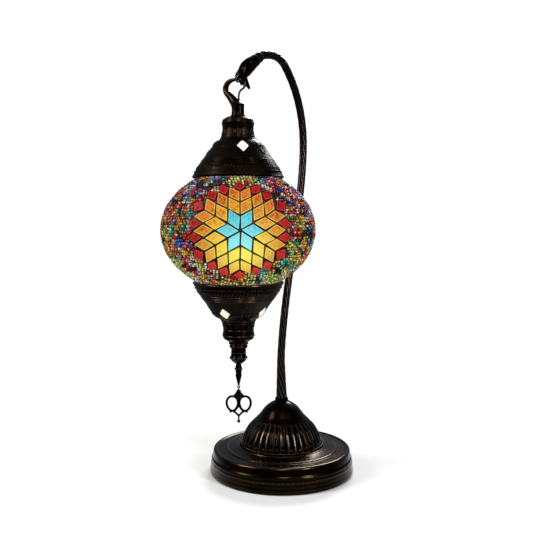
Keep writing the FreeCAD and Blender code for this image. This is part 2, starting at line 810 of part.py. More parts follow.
class Rosette:
    """A flat star of tiles laid on the globe: distances on the star become distances on the glass."""

    def __init__(self, index):
        turn = MIDDLE_TURN + index * 2 * math.pi / ROSETTES
        lift = size_of("rosette_rise") / globe_radius
        self.out = Vector(math.cos(turn) * math.cos(lift), math.sin(turn) * math.cos(lift), math.sin(lift))
        self.side = UP.cross(self.out).normalize()
        self.high = self.out.cross(self.side)

    def spot(self, across, up, offset):
        """The point of the glass, raised by offset, that lies across and up from the star's middle."""
        distance = math.hypot(across, up)
        bend = distance / globe_radius
        way = self.out * math.cos(bend)
        if distance > 0:
            way = way + (self.side * across + self.high * up) * (math.sin(bend) / distance)
        wide, tall = globe_radius + offset, globe_half + offset
        reach_out = 1 / math.sqrt((way.x ** 2 + way.y ** 2) / wide ** 2 + way.z ** 2 / tall ** 2)
        return way * reach_out

    def tile(self, corners, shrink):
        """A flat glass tile, tangent to the glass at its own middle, drawn in a little from its cell."""
        across = sum(c[0] for c in corners) / len(corners)
        up = sum(c[1] for c in corners) / len(corners)
        offset = grout_top + skin_gap
        middle = self.spot(across, up, offset)
        normal = Vector(middle.x / (globe_radius + offset) ** 2, middle.y / (globe_radius + offset) ** 2,
                        middle.z / (globe_half + offset) ** 2).normalize()
        rim = []
        for corner in corners:
            spot = self.spot(across + (corner[0] - across) * shrink, up + (corner[1] - up) * shrink, offset)
            rim.append(spot - normal * normal.dot(spot - middle) + centre)
        face = Part.Face(Part.makePolygon(rim + rim[:1]))
        return face.extrude(normal * size_of("tile_thickness"))


def star_point(i, j, sector):
    """A corner of the rhombus lattice between two neighbouring points of the star."""
    first = math.radians(90 + 60 * sector)
    second = math.radians(150 + 60 * sector)
    pitch = size_of("tile_pitch")
    return (pitch * (i * math.cos(first) + j * math.cos(second)),
            pitch * (i * math.sin(first) + j * math.sin(second)))


def rhombi(ring):
    """The rhombi of one ring of the star: 6, 12 and 18 of them."""
    cells = []
    for sector in range(POINTS):
        for i in range(ring):
            j = ring - 1 - i
            cells.append([star_point(i, j, sector), star_point(i + 1, j, sector),
                          star_point(i + 1, j + 1, sector), star_point(i, j + 1, sector)])
    return cells


def notch_tile(root, heading, corner, gap):
    """A four-sided tile of equal sides whose inner corner points back along its heading to the notch's root."""
    side = size_of("notch_side")
    half_long = side * math.cos(corner / 2)
    half_wide = side * math.sin(corner / 2)
    tile = []
    for along, aside in ((gap, 0), (gap + half_long, half_wide), (gap + 2 * half_long, 0), (gap + half_long, -half_wide)):
        tile.append((root[0] + along * math.cos(heading) - aside * math.sin(heading),
                     root[1] + along * math.sin(heading) + aside * math.cos(heading)))
    return tile


def notch_tiles():
    """One tile in every notch round the outermost ring: a square where the notch opens by 120 degrees, and a
    rhombus where it opens by 60. The rhombi open up a little towards the top and the bottom of the star."""
    side = size_of("notch_side")
    tiles = []
    for sector in range(POINTS):
        ray = math.radians(90 + 60 * sector)
        tiles.append(notch_tile(star_point(3, 0, sector), ray, math.radians(90), size_of("notch_gap")))
        heading = math.radians(120 + 60 * sector)
        corner = math.radians(60 + size_of("notch_open_turn") * abs(math.sin(heading)))
        back = side * (math.sqrt(3) * math.sin(corner / 2) - math.cos(corner / 2)) + size_of("notch_gap")
        for i, j in ((2, 1), (1, 2)):
            tiles.append(notch_tile(star_point(i, j, sector), heading, corner, back))
    return tiles


stars = [Rosette(k) for k in range(ROSETTES)]
joint_share = size_of("tile_side") / size_of("tile_pitch")
for label, cells, shrink in (("tiles_turquoise", rhombi(1), joint_share), ("tiles_amber", rhombi(2), joint_share),
                             ("tiles_orange", rhombi(3), joint_share), ("tiles_red", notch_tiles(), 1.0)):
    code_part(label, Part.makeCompound([star.tile(cell, shrink) for star in stars for cell in cells]))

star_reach = 3 * size_of("tile_pitch") + size_of("notch_gap") + size_of("notch_side") * math.sqrt(2)
star_reach += size_of("star_margin")
window_radius = globe_radius * math.sin(star_reach / globe_radius)
bead_layer = skin(grout_top + skin_gap, grout_top + skin_gap + size_of("bead_size")).common(band)
for star in stars:
    bead_layer = bead_layer.cut(Part.makeCylinder(window_radius, 2 * globe_radius, centre, star.out))
code_part("seed_beads", Part.makeCompound(bead_layer.Solids))

# ---------------------------------------------------------------- spring clips of the globe

wall = size_of("cap_wall")
leg_low = Vector(size_of("cap_rim_radius") - size_of("cap_curl_in") - wall, 0, size_of("cap_curl_height") - wall)
leg_high = Vector(size_of("cap_rim_radius") - size_of("cap_slope_in") - wall, 0,
                  size_of("cap_height") - size_of("cap_slope_drop") - wall)
along = (leg_high - leg_low).normalize()
inward = Vector(-along.z, 0, along.x)
sheet = size_of("clip_sheet")
mouth_line = size_of("globe_mouth_radius") - 0.5


def clip():
    """One spring clip: a leg along the cap's wall, then a finger down through the globe's mouth."""
    start = leg_low + along * 2 + inward * 0.35
    stop = leg_low + along * 13 + inward * 0.35
    outer = [stop, start, Vector(mouth_line, 0, 5.0), Vector(mouth_line, 0, -5.0), Vector(mouth_line + 1.2, 0, -8.5)]
    inner = [stop + inward * sheet, start + inward * sheet + along * 0.4, Vector(mouth_line - sheet, 0, 5.4),
             Vector(mouth_line - sheet, 0, -5.2), Vector(mouth_line + 1.2 - sheet, 0, -8.7)]
    line = outer + inner[::-1]
    width = size_of("clip_width")
    strip = Part.Face(Part.makePolygon(line + line[:1])).extrude(Vector(0, width, 0))
    strip.translate(Vector(0, -width / 2, 0))
    return strip


def clip_set(label, upper):
    """Three clips round the rim of one cap."""
    pieces = []
    for k in range(3):
        piece = clip()
        if not upper:
            piece.rotate(Vector(0, 0, 0), Vector(1, 0, 0), 180)
        piece.rotate(Vector(0, 0, 0), UP, 120 * k + 10)
        rim = cap_rim.value if upper else lower_rim.value
        piece.translate(Vector(0, -reach, rim))
        pieces.append(piece)
    code_part(label, Part.makeCompound(pieces))


clip_set("upper_globe_clips", True)
clip_set("lower_globe_clips", False)

# ---------------------------------------------------------------- finial

hex_nut("bottom_cap_nut", d.nipple_radius + 4.0, d.lock_nut_height, d.nipple_radius + 0.05,
        lower_crown + d.cap_wall + 0.1, lantern_y)
cup_bottom = lower_crown - 7.5
knob_bottom = cup_bottom - 17.0
stud_bottom = cup_bottom - 8.0
lantern_turned("finial_stud", [
    (ZERO, stud_bottom),
    (d.nipple_radius, stud_bottom),
    (d.nipple_radius, lower_crown + 8.0),
    (ZERO, lower_crown + 8.0),
])
lantern_turned("finial_cup", [
    (d.nipple_radius + 0.05, cup_bottom),
    (d.finial_radius, cup_bottom),
    (d.finial_radius + 0.6, cup_bottom + 1.5),
    (d.finial_radius, cup_bottom + 3.0),
    (d.cap_shoulder_radius - 6.0, lower_crown),
    (d.nipple_radius + 0.05, lower_crown),
])
lantern_turned("finial_knob", [
    (ZERO, knob_bottom),
    (d.spike_radius + 1.0, knob_bottom),
    (d.finial_radius - 1.6, knob_bottom + 3.0),
    (d.finial_radius + 0.4, knob_bottom + 6.0),
    (d.finial_radius - 0.8, knob_bottom + 8.5),
    (d.finial_neck_radius + 1.4, knob_bottom + 11.0),
    (d.finial_radius - 1.2, cup_bottom),
    (d.nipple_radius + 0.05, cup_bottom),
    (d.nipple_radius + 0.05, stud_bottom - 0.2),
    (ZERO, stud_bottom - 0.2),
])
turn = math.radians(size_of("pendant_turn"))
flat_way = Vector(math.cos(turn), math.sin(turn), 0)
face_way = Vector(-math.sin(turn), math.cos(turn), 0)
axis_foot = Vector(0, -reach, 0)
link_wire = size_of("link_wire")
link_radius = size_of("link_radius")
eye_wire = 0.5
eye_radius = 1.3
slack = 0.08
tip = size_of("spike_tip_height")
eye_middle = tip - eye_radius
stages = [(knob_bottom.value, 2.6), (knob_bottom.value - 2.0, 3.0), (knob_bottom.value - 6.0, 3.9),
          (knob_bottom.value - 10.5, 3.0), (knob_bottom.value - 13.5, 3.4), (tip + 1.0, 1.0), (tip, 0.8)]
line = [Vector(0, 0, stages[0][0])] + [Vector(r, 0, z) for z, r in stages] + [Vector(0, 0, tip)]
spike = Part.Face(Part.makePolygon(line + line[:1])).revolve(Vector(0, 0, 0), UP, 360)
spike.translate(axis_foot)
spike_eye = Part.makeTorus(eye_radius, eye_wire, axis_foot + UP * eye_middle, face_way)
code_part("finial_spike", spike.fuse(spike_eye).removeSplitter())
link_top = eye_middle - eye_radius + eye_wire + link_wire + slack
link_middle = link_top - link_radius
code_part("pendant_link", Part.makeTorus(link_radius, link_wire, axis_foot + UP * link_middle, flat_way))

# ---------------------------------------------------------------- pendant

bar = size_of("pendant_wire")
ring_wire = 0.75
ring_mean = 1.8
pendant_eye = link_middle - link_radius + link_wire + ring_wire + slack - ring_mean
pendant_low = pendant_eye - size_of("pendant_length") + 3.0


def on_pendant(across, drop):
    """A point of the pendant's plane, measured from its eye."""
    return axis_foot + flat_way * across + UP * (pendant_eye - drop)


def rod(first, last, radius):
    """A round bar between two points with a ball at its start."""
    return Part.makeCylinder(radius, (last - first).Length, first, last - first).fuse(Part.makeSphere(radius, first))


loop_wide, loop_tall, loop_place = 6.1, 8.0, 6.9
pieces = [Part.makeTorus(ring_mean, ring_wire, on_pendant(0, 0), face_way)]
for side in (-1, 1):
    oval_middle = on_pendant(side * loop_place, 13.2)
    oval = Part.Ellipse(oval_middle + UP * loop_tall, oval_middle + flat_way * loop_wide, oval_middle)
    path = Part.Wire(oval.toShape())
    start = path.Edges[0].valueAt(path.Edges[0].FirstParameter)
    tangent = path.Edges[0].tangentAt(path.Edges[0].FirstParameter)
    ring = Part.Wire(Part.Circle(start, tangent, bar).toShape())
    pieces.append(path.makePipeShell([ring], True, False))
    corners = [on_pendant(side * 1.2, 18.2), on_pendant(side * 4.6, 21.8), on_pendant(0, 26.4)]
    pieces.append(rod(corners[0], corners[1], bar * 0.9))
    pieces.append(rod(corners[1], corners[2], bar * 0.9))
    pieces.append(Part.makeSphere(1.5, on_pendant(side * 2.4, 3.6)))
pieces.append(rod(on_pendant(0, 2.2), on_pendant(0, 20.0 - 1.2), bar * 0.9))
pieces.append(rod(on_pendant(0, 26.4), on_pendant(0, 32.0), bar * 0.8))
pieces.append(Part.makeSphere(1.8, on_pendant(0, 32.6)))
pendant = pieces[0].multiFuse(pieces[1:])
if len(pendant.Solids) != 1:
    raise RuntimeError("the pendant is in " + str(len(pendant.Solids)) + " pieces")
code_part("pendant", pendant.Solids[0])

code_part("lantern_lead", lantern_lead)

# ---------------------------------------------------------------- checks and files

doc.recompute()
for item in doc.Objects:
    if "Invalid" in item.State or "Error" in item.State:
        raise RuntimeError(item.Name + " failed: " + str(item.State))
os.makedirs("parts", exist_ok=True)
for piece in subparts:
    if piece.Shape.isNull() or not piece.Shape.isValid():
        raise RuntimeError(piece.Label + " has no valid shape")
    piece.Shape.exportStep("parts/" + piece.Label + ".step")
    print(piece.Label, len(piece.Shape.Solids), round(piece.Shape.Volume))
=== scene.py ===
# %% [markdown]
# # A mosaic glass table lamp
# This lesson dresses a swan-neck lamp with a hanging mosaic lantern, of the kind made around the eastern
# Mediterranean. The design file holds the true sizes, so every cell adds only what the eye needs: the
# twisted brass of the neck, the pressed pattern of the caps, and the glass of the globe.
#
# Lengths are written in millimetres, as on a workshop drawing, and turned into metres in one place.

# %% Load the frame
import json
import math

import bmesh
import bpy
import numpy as np
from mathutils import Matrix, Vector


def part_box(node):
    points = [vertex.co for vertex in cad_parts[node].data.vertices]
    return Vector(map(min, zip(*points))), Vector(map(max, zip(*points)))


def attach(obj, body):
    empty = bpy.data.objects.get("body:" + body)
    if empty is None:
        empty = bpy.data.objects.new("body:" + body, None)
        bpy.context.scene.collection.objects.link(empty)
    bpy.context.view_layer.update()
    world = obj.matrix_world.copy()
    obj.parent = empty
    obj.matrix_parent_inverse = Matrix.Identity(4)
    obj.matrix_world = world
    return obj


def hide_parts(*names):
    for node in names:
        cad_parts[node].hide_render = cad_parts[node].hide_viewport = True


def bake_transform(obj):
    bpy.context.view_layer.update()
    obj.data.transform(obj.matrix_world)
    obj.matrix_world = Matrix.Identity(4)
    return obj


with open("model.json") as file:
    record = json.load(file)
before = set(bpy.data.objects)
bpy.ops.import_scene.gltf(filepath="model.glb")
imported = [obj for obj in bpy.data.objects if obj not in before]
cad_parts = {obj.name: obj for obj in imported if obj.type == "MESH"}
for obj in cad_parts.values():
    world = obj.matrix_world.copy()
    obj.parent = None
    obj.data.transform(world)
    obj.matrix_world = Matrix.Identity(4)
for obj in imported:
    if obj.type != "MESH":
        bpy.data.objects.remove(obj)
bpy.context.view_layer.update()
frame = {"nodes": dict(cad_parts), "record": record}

MM = 0.001

# %% [markdown]
# ## The main lines of the lamp
# The lantern hangs on its own upright axis in front of the base. The globe is a flattened ball, and two
# equal bells close it above and below. These few numbers place everything that follows.

# %% Name the main sizes
REACH = 75.0
AXIS = np.array([0.0, -REACH, 0.0])
GLOBE_MIDDLE, GLOBE_RADIUS, GLOBE_HALF = 281.0, 79.4, 62.5
BAND_HALF = 53.6
UPPER_RIM, LOWER_RIM = GLOBE_MIDDLE + 54.8, GLOBE_MIDDLE - 54.8
EYE_HEIGHT = 444.0
rng = np.random.default_rng(11)
print("the lantern hangs", REACH, "mm in front of the base's centre")

# %% [markdown]
# ## How surfaces are made here
# A spun bell, a twisted bar and a glass globe are all one idea: a grid of points that wraps round one way
# and runs along the other. One function turns such a grid into a mesh, welds the places where a row
# shrinks to a point, and turns every face outwards.

# %% Grids into meshes
def grid_faces(rows, columns, loop_rows=False, loop_columns=True):
    """Four corner numbers for each cell of a grid of points, wrapping round where asked."""
    row = np.arange(rows if loop_rows else rows - 1)[:, None]
    column = np.arange(columns if loop_columns else columns - 1)[None, :]
    after, beside = (row + 1) % rows, (column + 1) % columns
    corners = [row * columns + column, row * columns + beside,
               after * columns + beside, after * columns + column]
    return np.stack(np.broadcast_arrays(*corners), -1).reshape(-1, 4)


def make_piece(name, points, faces, material, body, traits=None, crease=35.0, weld=True):
    """A mesh object from points in millimetres. Traits are numbers or colours carried by each point."""
    mesh = bpy.data.meshes.new(name)
    mesh.from_pydata((points * MM).tolist(), [], faces.tolist())
    for trait, values in (traits or {}).items():
        if values.ndim == 1:
            mesh.attributes.new(trait, "FLOAT", "POINT").data.foreach_set("value", values.astype(np.float32))
        else:
            colours = np.c_[values, np.ones(len(values))].astype(np.float32)
            mesh.attributes.new(trait, "FLOAT_COLOR", "POINT").data.foreach_set("color", colours.ravel())
    if weld:
        work = bmesh.new()
        work.from_mesh(mesh)
        bmesh.ops.remove_doubles(work, verts=work.verts, dist=0.002 * MM)
        bmesh.ops.recalc_face_normals(work, faces=work.faces)
        work.to_mesh(mesh)
        work.free()
    mesh.shade_smooth()
    mesh.set_sharp_from_angle(angle=math.radians(crease))
    mesh.materials.append(material)
    piece = bpy.data.objects.new(name, mesh)
    bpy.context.scene.collection.objects.link(piece)
    if body is not None:
        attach(piece, body)
    print(name, len(mesh.polygons), "faces")
    return piece


def circle(count):
    """Angles evenly round a full turn, without the last one, which would repeat the first."""
    return np.linspace(0, 2 * math.pi, count, endpoint=False)


def unit(vectors):
    """The same directions with a length of one."""
    return vectors / np.linalg.norm(vectors, axis=-1, keepdims=True)


def grid_piece(name, points, material, body, traits=None, crease=35.0, loop_rows=False):
    """A piece made of one grid of points. Traits are grids too, with one value for each point."""
    traits = {trait: values.ravel() for trait, values in (traits or {}).items()}
    faces = grid_faces(*points.shape[:2], loop_rows=loop_rows)
    return make_piece(name, points.reshape(-1, 3), faces, material, body, traits, crease)


def bow(start, end, bulge=0.0, count=8):
    """One step of a profile: a parabola from start to end that stands out by bulge at its middle."""
    share = np.linspace(0, 1, count)[:, None]
    start, end = np.array(start, float), np.array(end, float)
    run = end - start
    outwards = np.array([run[1], -run[0]]) / np.hypot(*run)
    return start + run * share + outwards * 4 * bulge * share * (1 - share)


def round_axis(radius, turn, height):
    """Points at a radius and a turn about the upright axis, and at a height."""
    return np.stack(np.broadcast_arrays(radius * np.cos(turn), radius * np.sin(turn), height), -1)


def lathe_points(profile, around, relief=None, middle=(0.0, 0.0)):
    """Turn a profile of (radius, height) about an upright axis. Relief adds to the radius and depends on
    the angle and on the height."""
    angle = circle(around)[None, :]
    radius = np.repeat(profile[:, :1], around, 1)
    height = np.repeat(profile[:, 1:2], around, 1)
    if relief is not None:
        radius = radius + relief(angle, height, radius)
    return np.stack([middle[0] + radius * np.cos(angle), middle[1] + radius * np.sin(angle), height], -1)


def smooth_line(stations, count, closed=False):
    """A Catmull-Rom curve: it passes through every station and leaves each one in the direction from the
    station before to the one after. Each station may hold any row of numbers, such as a point and a radius."""
    knots = np.asarray(stations, float)
    if closed:
        knots = np.vstack([knots[-1:], knots, knots[:2]])
    else:
        knots = np.vstack([2 * knots[0] - knots[1], knots, 2 * knots[-1] - knots[-2]])
    place = np.linspace(0, len(knots) - 3, count, endpoint=not closed)
    first = np.minimum(place.astype(int), len(knots) - 4)
    part = (place - first)[:, None]
    a, b, c, e = (knots[first + k] for k in range(4))
    return 0.5 * (2 * b + (c - a) * part + (2 * a - 5 * b + 4 * c - e) * part ** 2
                  + (3 * b - a - 3 * c + e) * part ** 3)


def rounded_route(corners, per_corner):
    """Straight runs whose corners are rounded by parabolas from the middle of one run to the next."""
    corners = np.asarray(corners, float)
    first = (corners[:-2] + corners[1:-1]) / 2
    last = (corners[1:-1] + corners[2:]) / 2
    first[0], last[-1] = corners[0], corners[-1]
    share = np.linspace(0, 1, per_corner, endpoint=False)[None, :, None]
    line = ((1 - share) ** 2 * first[:, None] + 2 * share * (1 - share) * corners[1:-1, None]
            + share ** 2 * last[:, None])
    return np.vstack([line.reshape(-1, 3), corners[-1:]])


def evenly(line, count):
    """The same line with its points at equal distances, and the distance of each point from the start."""
    steps = np.r_[0, np.cumsum(np.linalg.norm(np.diff(line[:, :3], axis=0), axis=1))]
    place = np.linspace(0, steps[-1], count)
    return np.stack([np.interp(place, steps, line[:, k]) for k in range(line.shape[1])], -1), place


def sweep_points(path, flat, wide, deep, around=16, closed=False):
    """Carry an oval section along a path that lies in one plane. Flat is the plane's normal; wide is half
    the section along that normal and deep is half of it within the plane. Open ends close to a point."""
    flat = np.asarray(flat, float)
    if closed:
        ahead = np.roll(path, -1, 0) - np.roll(path, 1, 0)
    else:
        ahead = np.gradient(path, axis=0)
    ahead = ahead / np.linalg.norm(ahead, axis=1)[:, None]
    inner = np.cross(flat, ahead)
    angle = circle(around)
    shape = (len(path), around)
    wide = np.broadcast_to(np.asarray(wide, float).reshape(-1, 1) if np.ndim(wide) < 2 else wide, shape)
    deep = np.broadcast_to(np.asarray(deep, float).reshape(-1, 1) if np.ndim(deep) < 2 else deep, shape)
    points = (path[:, None] + flat * (wide * np.cos(angle))[..., None]
              + inner[:, None] * (deep * np.sin(angle))[..., None])
    if closed:
        return points
    lids = [np.repeat(path[k][None, None], around, 1) for k in (0, -1)]
    return np.concatenate([lids[0], points, lids[1]])


def joined(parts):
    """Several (points, faces) pairs as one."""
    points, faces, total = [], [], 0
    for cloud, cells in parts:
        cloud = cloud.reshape(-1, 3)
        points.append(cloud)
        faces.append(cells + total)
        total += len(cloud)
    return np.vstack(points), np.vstack(faces)


def skin_of(points, loop_rows=False):
    """A grid of points together with its faces."""
    return points, grid_faces(points.shape[0], points.shape[1], loop_rows)


def ball_points(radius, rows=7, columns=10):
    """A ball about the origin, from pole to pole."""
    up = np.linspace(-math.pi / 2, math.pi / 2, rows)[:, None]
    turn = circle(columns)[None, :]
    across = radius * np.cos(up)
    return round_axis(across, turn, radius * np.sin(up))


def strewn(pattern, cells, middles, frames, sizes=None):
    """Copies of one small shape: each is turned by its own frame and moved to its own middle."""
    pattern = pattern.reshape(-1, 3)
    sizes = np.ones(len(middles)) if sizes is None else sizes
    clouds = np.einsum("vk,nkj->nvj", pattern, frames) * sizes[:, None, None] + middles[:, None]
    faces = cells[None] + (np.arange(len(middles)) * len(pattern))[:, None, None]
    return clouds.reshape(-1, 3), faces.reshape(-1, 4)


print("surface tools ready")

# %% [markdown]
# ## Grain shared by every plain material
# Nothing on a handmade lamp is one flat colour. One node group mixes a dark and a light colour with cloudy
# noise, gives a matching roughness and a fine height for bumps, and every plain material uses it with its
# own colours and scale.

# %% Build the shared grain
def add_node(tree, kind, wires=None, **settings):
    """Add a node, set its properties or the values of its sockets, and wire the sockets named in wires."""
    made = tree.nodes.new(kind)
    for key, value in settings.items():
        if hasattr(made, key):
            setattr(made, key, value)
        else:
            made.inputs[key.replace("_", " ")].default_value = value
    for socket, source in (wires or {}).items():
        tree.links.new(source, made.inputs[socket])
    return made


def mix_colours(tree, factor, first, second, blend="MIX"):
    """A colour between first and second; each may be a socket or a plain colour."""
    made = tree.nodes.new("ShaderNodeMix")
    made.data_type, made.blend_type = "RGBA", blend
    for place, source in ((0, factor), (6, first), (7, second)):
        if isinstance(source, bpy.types.NodeSocket):
            tree.links.new(source, made.inputs[place])
        else:
            made.inputs[place].default_value = source if place == 0 else (*source, 1.0)
    return made.outputs[2]


def calculate(tree, operation, first, second):
    """A sum on two values; the second may be a socket or a plain number."""
    made = add_node(tree, "ShaderNodeMath", {0: first}, operation=operation)
    if isinstance(second, bpy.types.NodeSocket):
        tree.links.new(second, made.inputs[1])
    else:
        made.inputs[1].default_value = second
    return made.outputs[0]


def remap(tree, source, start, end, low, high, **settings):
    """Carry source from the span start to end over to the span low to high."""
    made = add_node(tree, "ShaderNodeMapRange", {"Value": source}, **settings)
    for label, value in (("From Min", start), ("From Max", end), ("To Min", low), ("To Max", high)):
        made.inputs[label].default_value = value
    return made.outputs[0]


def ramp(tree, source, stops):
    """A colour ramp through (place, grey or colour) stops."""
    made = tree.nodes.new("ShaderNodeValToRGB")
    tree.links.new(source, made.inputs[0])
    while len(made.color_ramp.elements) < len(stops):
        made.color_ramp.elements.new(0.5)
    for element, (place, value) in zip(made.color_ramp.elements, stops):
        element.position = place
        element.color = (*value, 1.0) if isinstance(value, tuple) else (value, value, value, 1.0)
    return made.outputs[0]


def new_group(name, inputs, outputs):
    """An empty node group with its sockets."""
    group = bpy.data.node_groups.new(name, "ShaderNodeTree")
    for label, kind, value in inputs:
        group.interface.new_socket(label, in_out="INPUT", socket_type=kind).default_value = value
    for label, kind in outputs:
        group.interface.new_socket(label, in_out="OUTPUT", socket_type=kind)
    return group, group.nodes.new("NodeGroupInput"), group.nodes.new("NodeGroupOutput")


COLOUR, NUMBER = "NodeSocketColor", "NodeSocketFloat"
grain, given, result = new_group(
    "Grain",
    [("Dark", COLOUR, (0, 0, 0, 1)), ("Light", COLOUR, (1, 1, 1, 1)), ("Scale", NUMBER, 60.0),
     ("Rough Low", NUMBER, 0.3), ("Rough High", NUMBER, 0.5)],
    [("Color", COLOUR), ("Roughness", NUMBER), ("Height", NUMBER)])
place = add_node(grain, "ShaderNodeTexCoord").outputs["Object"]
cloud = add_node(grain, "ShaderNodeTexNoise", {"Vector": place, "Scale": given.outputs["Scale"]},
                 Detail=5.0, Roughness=0.6)
finer = calculate(grain, "MULTIPLY", given.outputs["Scale"], 14.0)
dust = add_node(grain, "ShaderNodeTexNoise", {"Vector": place, "Scale": finer}, Detail=2.0)
spread = ramp(grain, cloud.outputs["Fac"], [(0.32, 0.0), (0.68, 1.0)])
grained_colour = mix_colours(grain, spread, given.outputs["Dark"], given.outputs["Light"])
grain.links.new(grained_colour, result.inputs["Color"])
rough = add_node(grain, "ShaderNodeMapRange", {"Value": cloud.outputs["Fac"],
                                               "To Min": given.outputs["Rough Low"],
                                               "To Max": given.outputs["Rough High"]})
grain.links.new(rough.outputs[0], result.inputs["Roughness"])
grain.links.new(dust.outputs["Fac"], result.inputs["Height"])
print("grain group has", len(grain.nodes), "nodes")


# %% Plain materials from the grain
def grained(name, dark, light, scale, rough, metallic=0.0, bump=0.1, coat=0.0):
    """A material whose colour, roughness and bumps come from the shared grain."""
    material = bpy.data.materials.new(name)
    material.use_nodes = True
    tree = material.node_tree
    shader = tree.nodes["Principled BSDF"]
    source = tree.nodes.new("ShaderNodeGroup")
    source.node_tree = grain
    for label, value in (("Dark", (*dark, 1)), ("Light", (*light, 1)), ("Scale", scale),
                         ("Rough Low", rough[0]), ("Rough High", rough[1])):
        source.inputs[label].default_value = value
    raised = add_node(tree, "ShaderNodeBump", {"Height": source.outputs["Height"]},
                      Strength=bump, Distance=0.0004)
    tree.links.new(source.outputs["Color"], shader.inputs["Base Color"])
    tree.links.new(source.outputs["Roughness"], shader.inputs["Roughness"])
    tree.links.new(raised.outputs[0], shader.inputs["Normal"])
    shader.inputs["Metallic"].default_value = metallic
    shader.inputs["Coat Weight"].default_value = coat
    shader.inputs["Coat Roughness"].default_value = 0.12
    return material


plain = {
    "felt": grained("felt", (0.02, 0.03, 0.02), (0.05, 0.08, 0.05), 400, (0.9, 1.0), bump=0.6),
    "zinc_steel": grained("zinc steel", (0.42, 0.42, 0.38), (0.66, 0.66, 0.62), 120, (0.25, 0.45), 1.0),
    "cast_iron": grained("cast iron", (0.03, 0.03, 0.03), (0.09, 0.085, 0.08), 300, (0.6, 0.8), 0.8, 0.5),
    "black_plastic": grained("black plastic", (0.012, 0.012, 0.012), (0.03, 0.03, 0.03), 90, (0.3, 0.42)),
    "porcelain": grained("porcelain", (0.80, 0.78, 0.72), (0.90, 0.89, 0.85), 40, (0.15, 0.25), bump=0.02),
    "lead_jacket": grained("lead jacket", (0.004, 0.003, 0.002), (0.014, 0.010, 0.006), 150, (0.4, 0.55)),
    "steel_wire": grained("dark steel wire", (0.03, 0.025, 0.02), (0.14, 0.11, 0.08), 260, (0.25, 0.4), 1.0),
    "bulb_metal": grained("bulb cap metal", (0.5, 0.48, 0.42), (0.78, 0.76, 0.7), 200, (0.2, 0.35), 1.0),
    "spring_steel": grained("spring steel", (0.4, 0.39, 0.36), (0.62, 0.61, 0.58), 150, (0.2, 0.35), 1.0),
}
print(len(plain), "plain materials")

# %% [markdown]
# ## Blackened bronze
# The metal is brass darkened with a liver-of-sulphur bath and rubbed back, so it is nearly black in the
# hollows and warm brown or olive where a hand or a cloth has passed. Points that stand out carry a wear
# trait, and the bronze shows through there. On the base's ring edges, the dome's lobe ridges, the lower
# flutes of the neck and the lower cap the same trait is also a painted highlight.

# %% Build the bronze
def bronze_like(name, hollow, rubbed, bare, rough=(0.16, 0.32), coat=0.05):
    """Dark patina over bronze. The wear trait uncovers the bare metal: wear on most parts, and on some a painted
    highlight.
    """
    material = grained(name, hollow, rubbed, 45, rough, 1.0, 0.12, coat)
    tree = material.node_tree
    shader = tree.nodes["Principled BSDF"]
    base = shader.inputs["Base Color"].links[0].from_socket
    wear_and_highlight = add_node(tree, "ShaderNodeAttribute", attribute_name="wear_and_highlight")
    spot = add_node(tree, "ShaderNodeTexCoord").outputs["Object"]
    fleck = add_node(tree, "ShaderNodeTexNoise", {"Vector": spot}, Scale=900.0, Detail=3.0)
    patchy = calculate(tree, "MULTIPLY", wear_and_highlight.outputs["Fac"], fleck.outputs["Fac"])
    tree.links.new(mix_colours(tree, patchy, base, bare), shader.inputs["Base Color"])
    return material


PATINA = ((0.0022, 0.0014, 0.0008), (0.0085, 0.0042, 0.0018))
bronze = bronze_like("antique bronze", *PATINA, (0.26, 0.14, 0.075))
plate_bronze = bronze_like("olive bronze", (0.0034, 0.0022, 0.0008), (0.014, 0.008, 0.0024),
                           (0.30, 0.17, 0.075), (0.14, 0.26))
# Its light, pinkish bare colour shows on the dome's ridges and the neck's flutes as wear and as a painted
# highlight.
rubbed_sheen_bronze = bronze_like("rubbed bronze with sheen", *PATINA, (0.60, 0.46, 0.38))
print("bronze ready")

# %% [markdown]
# ## The base
# The base is spun from sheet: a rolled foot, an upright skirt with a stamped band, a rounded rim
# and a nearly flat top with raised rings. The stamp is a row of small leaves, each a bump that swells and
# dies away.

# %% Spin the base
def leaves(angle, height, count, low, high, depth):
    """A stamped band of leaves between two heights: ovals side by side, each with a hollow vein."""
    across = np.abs(np.sin(count * angle / 2))
    up = np.clip((height - low) / (high - low), 0, 1)
    leaf = np.clip(across ** 0.7 - np.abs(2 * up - 1) ** 1.5, 0, 1)
    vein = np.exp(-((across - 1) / 0.01) ** 2)
    return depth * leaf * (1 - 0.5 * vein)


BASE_WALL = 1.3
base_outer = np.vstack([
    bow((82.3, 0.9), (82.5, 6.4), 0.5, 9),
    bow((82.4, 6.8), (82.1, 9.8), 0.0, 4),
    bow((81.95, 10.4), (81.3, 16.4), 0.0, 26),
    bow((81.5, 16.8), (80.6, 19.4), 0.15, 6),
    bow((80.2, 19.8), (79.2, 25.4), 0.0, 8),
    bow((79.1, 25.8), (76.6, 28.5), 0.7, 9),
    bow((75.8, 28.5), (73.5, 27.6), 0.0, 4),
    bow((73.2, 27.5), (64.6, 28.1), 0.0, 8),
    bow((64.4, 28.2), (61.4, 29.3), 0.6, 8),
    bow((61.0, 29.3), (50.9, 31.0), -0.15, 8),
    bow((50.7, 31.1), (48.6, 31.9), 0.5, 8),
    bow((48.2, 31.9), (8.0, 32.1), 0.0, 4),
])
base_inner = base_outer[::-1][::3] - BASE_WALL
base_inner[-1] = (80.2, 0.9)
base_profile = np.vstack([base_outer, base_inner])
base_points = lathe_points(base_profile, 540, lambda angle, height, radius: np.where(
    (radius > 80.5) & (height > 11) & (height < 16.3), leaves(angle, height, 96, 11.3, 16.0, 0.38), 0.0))
radius_now = np.hypot(base_points[..., 0], base_points[..., 1])
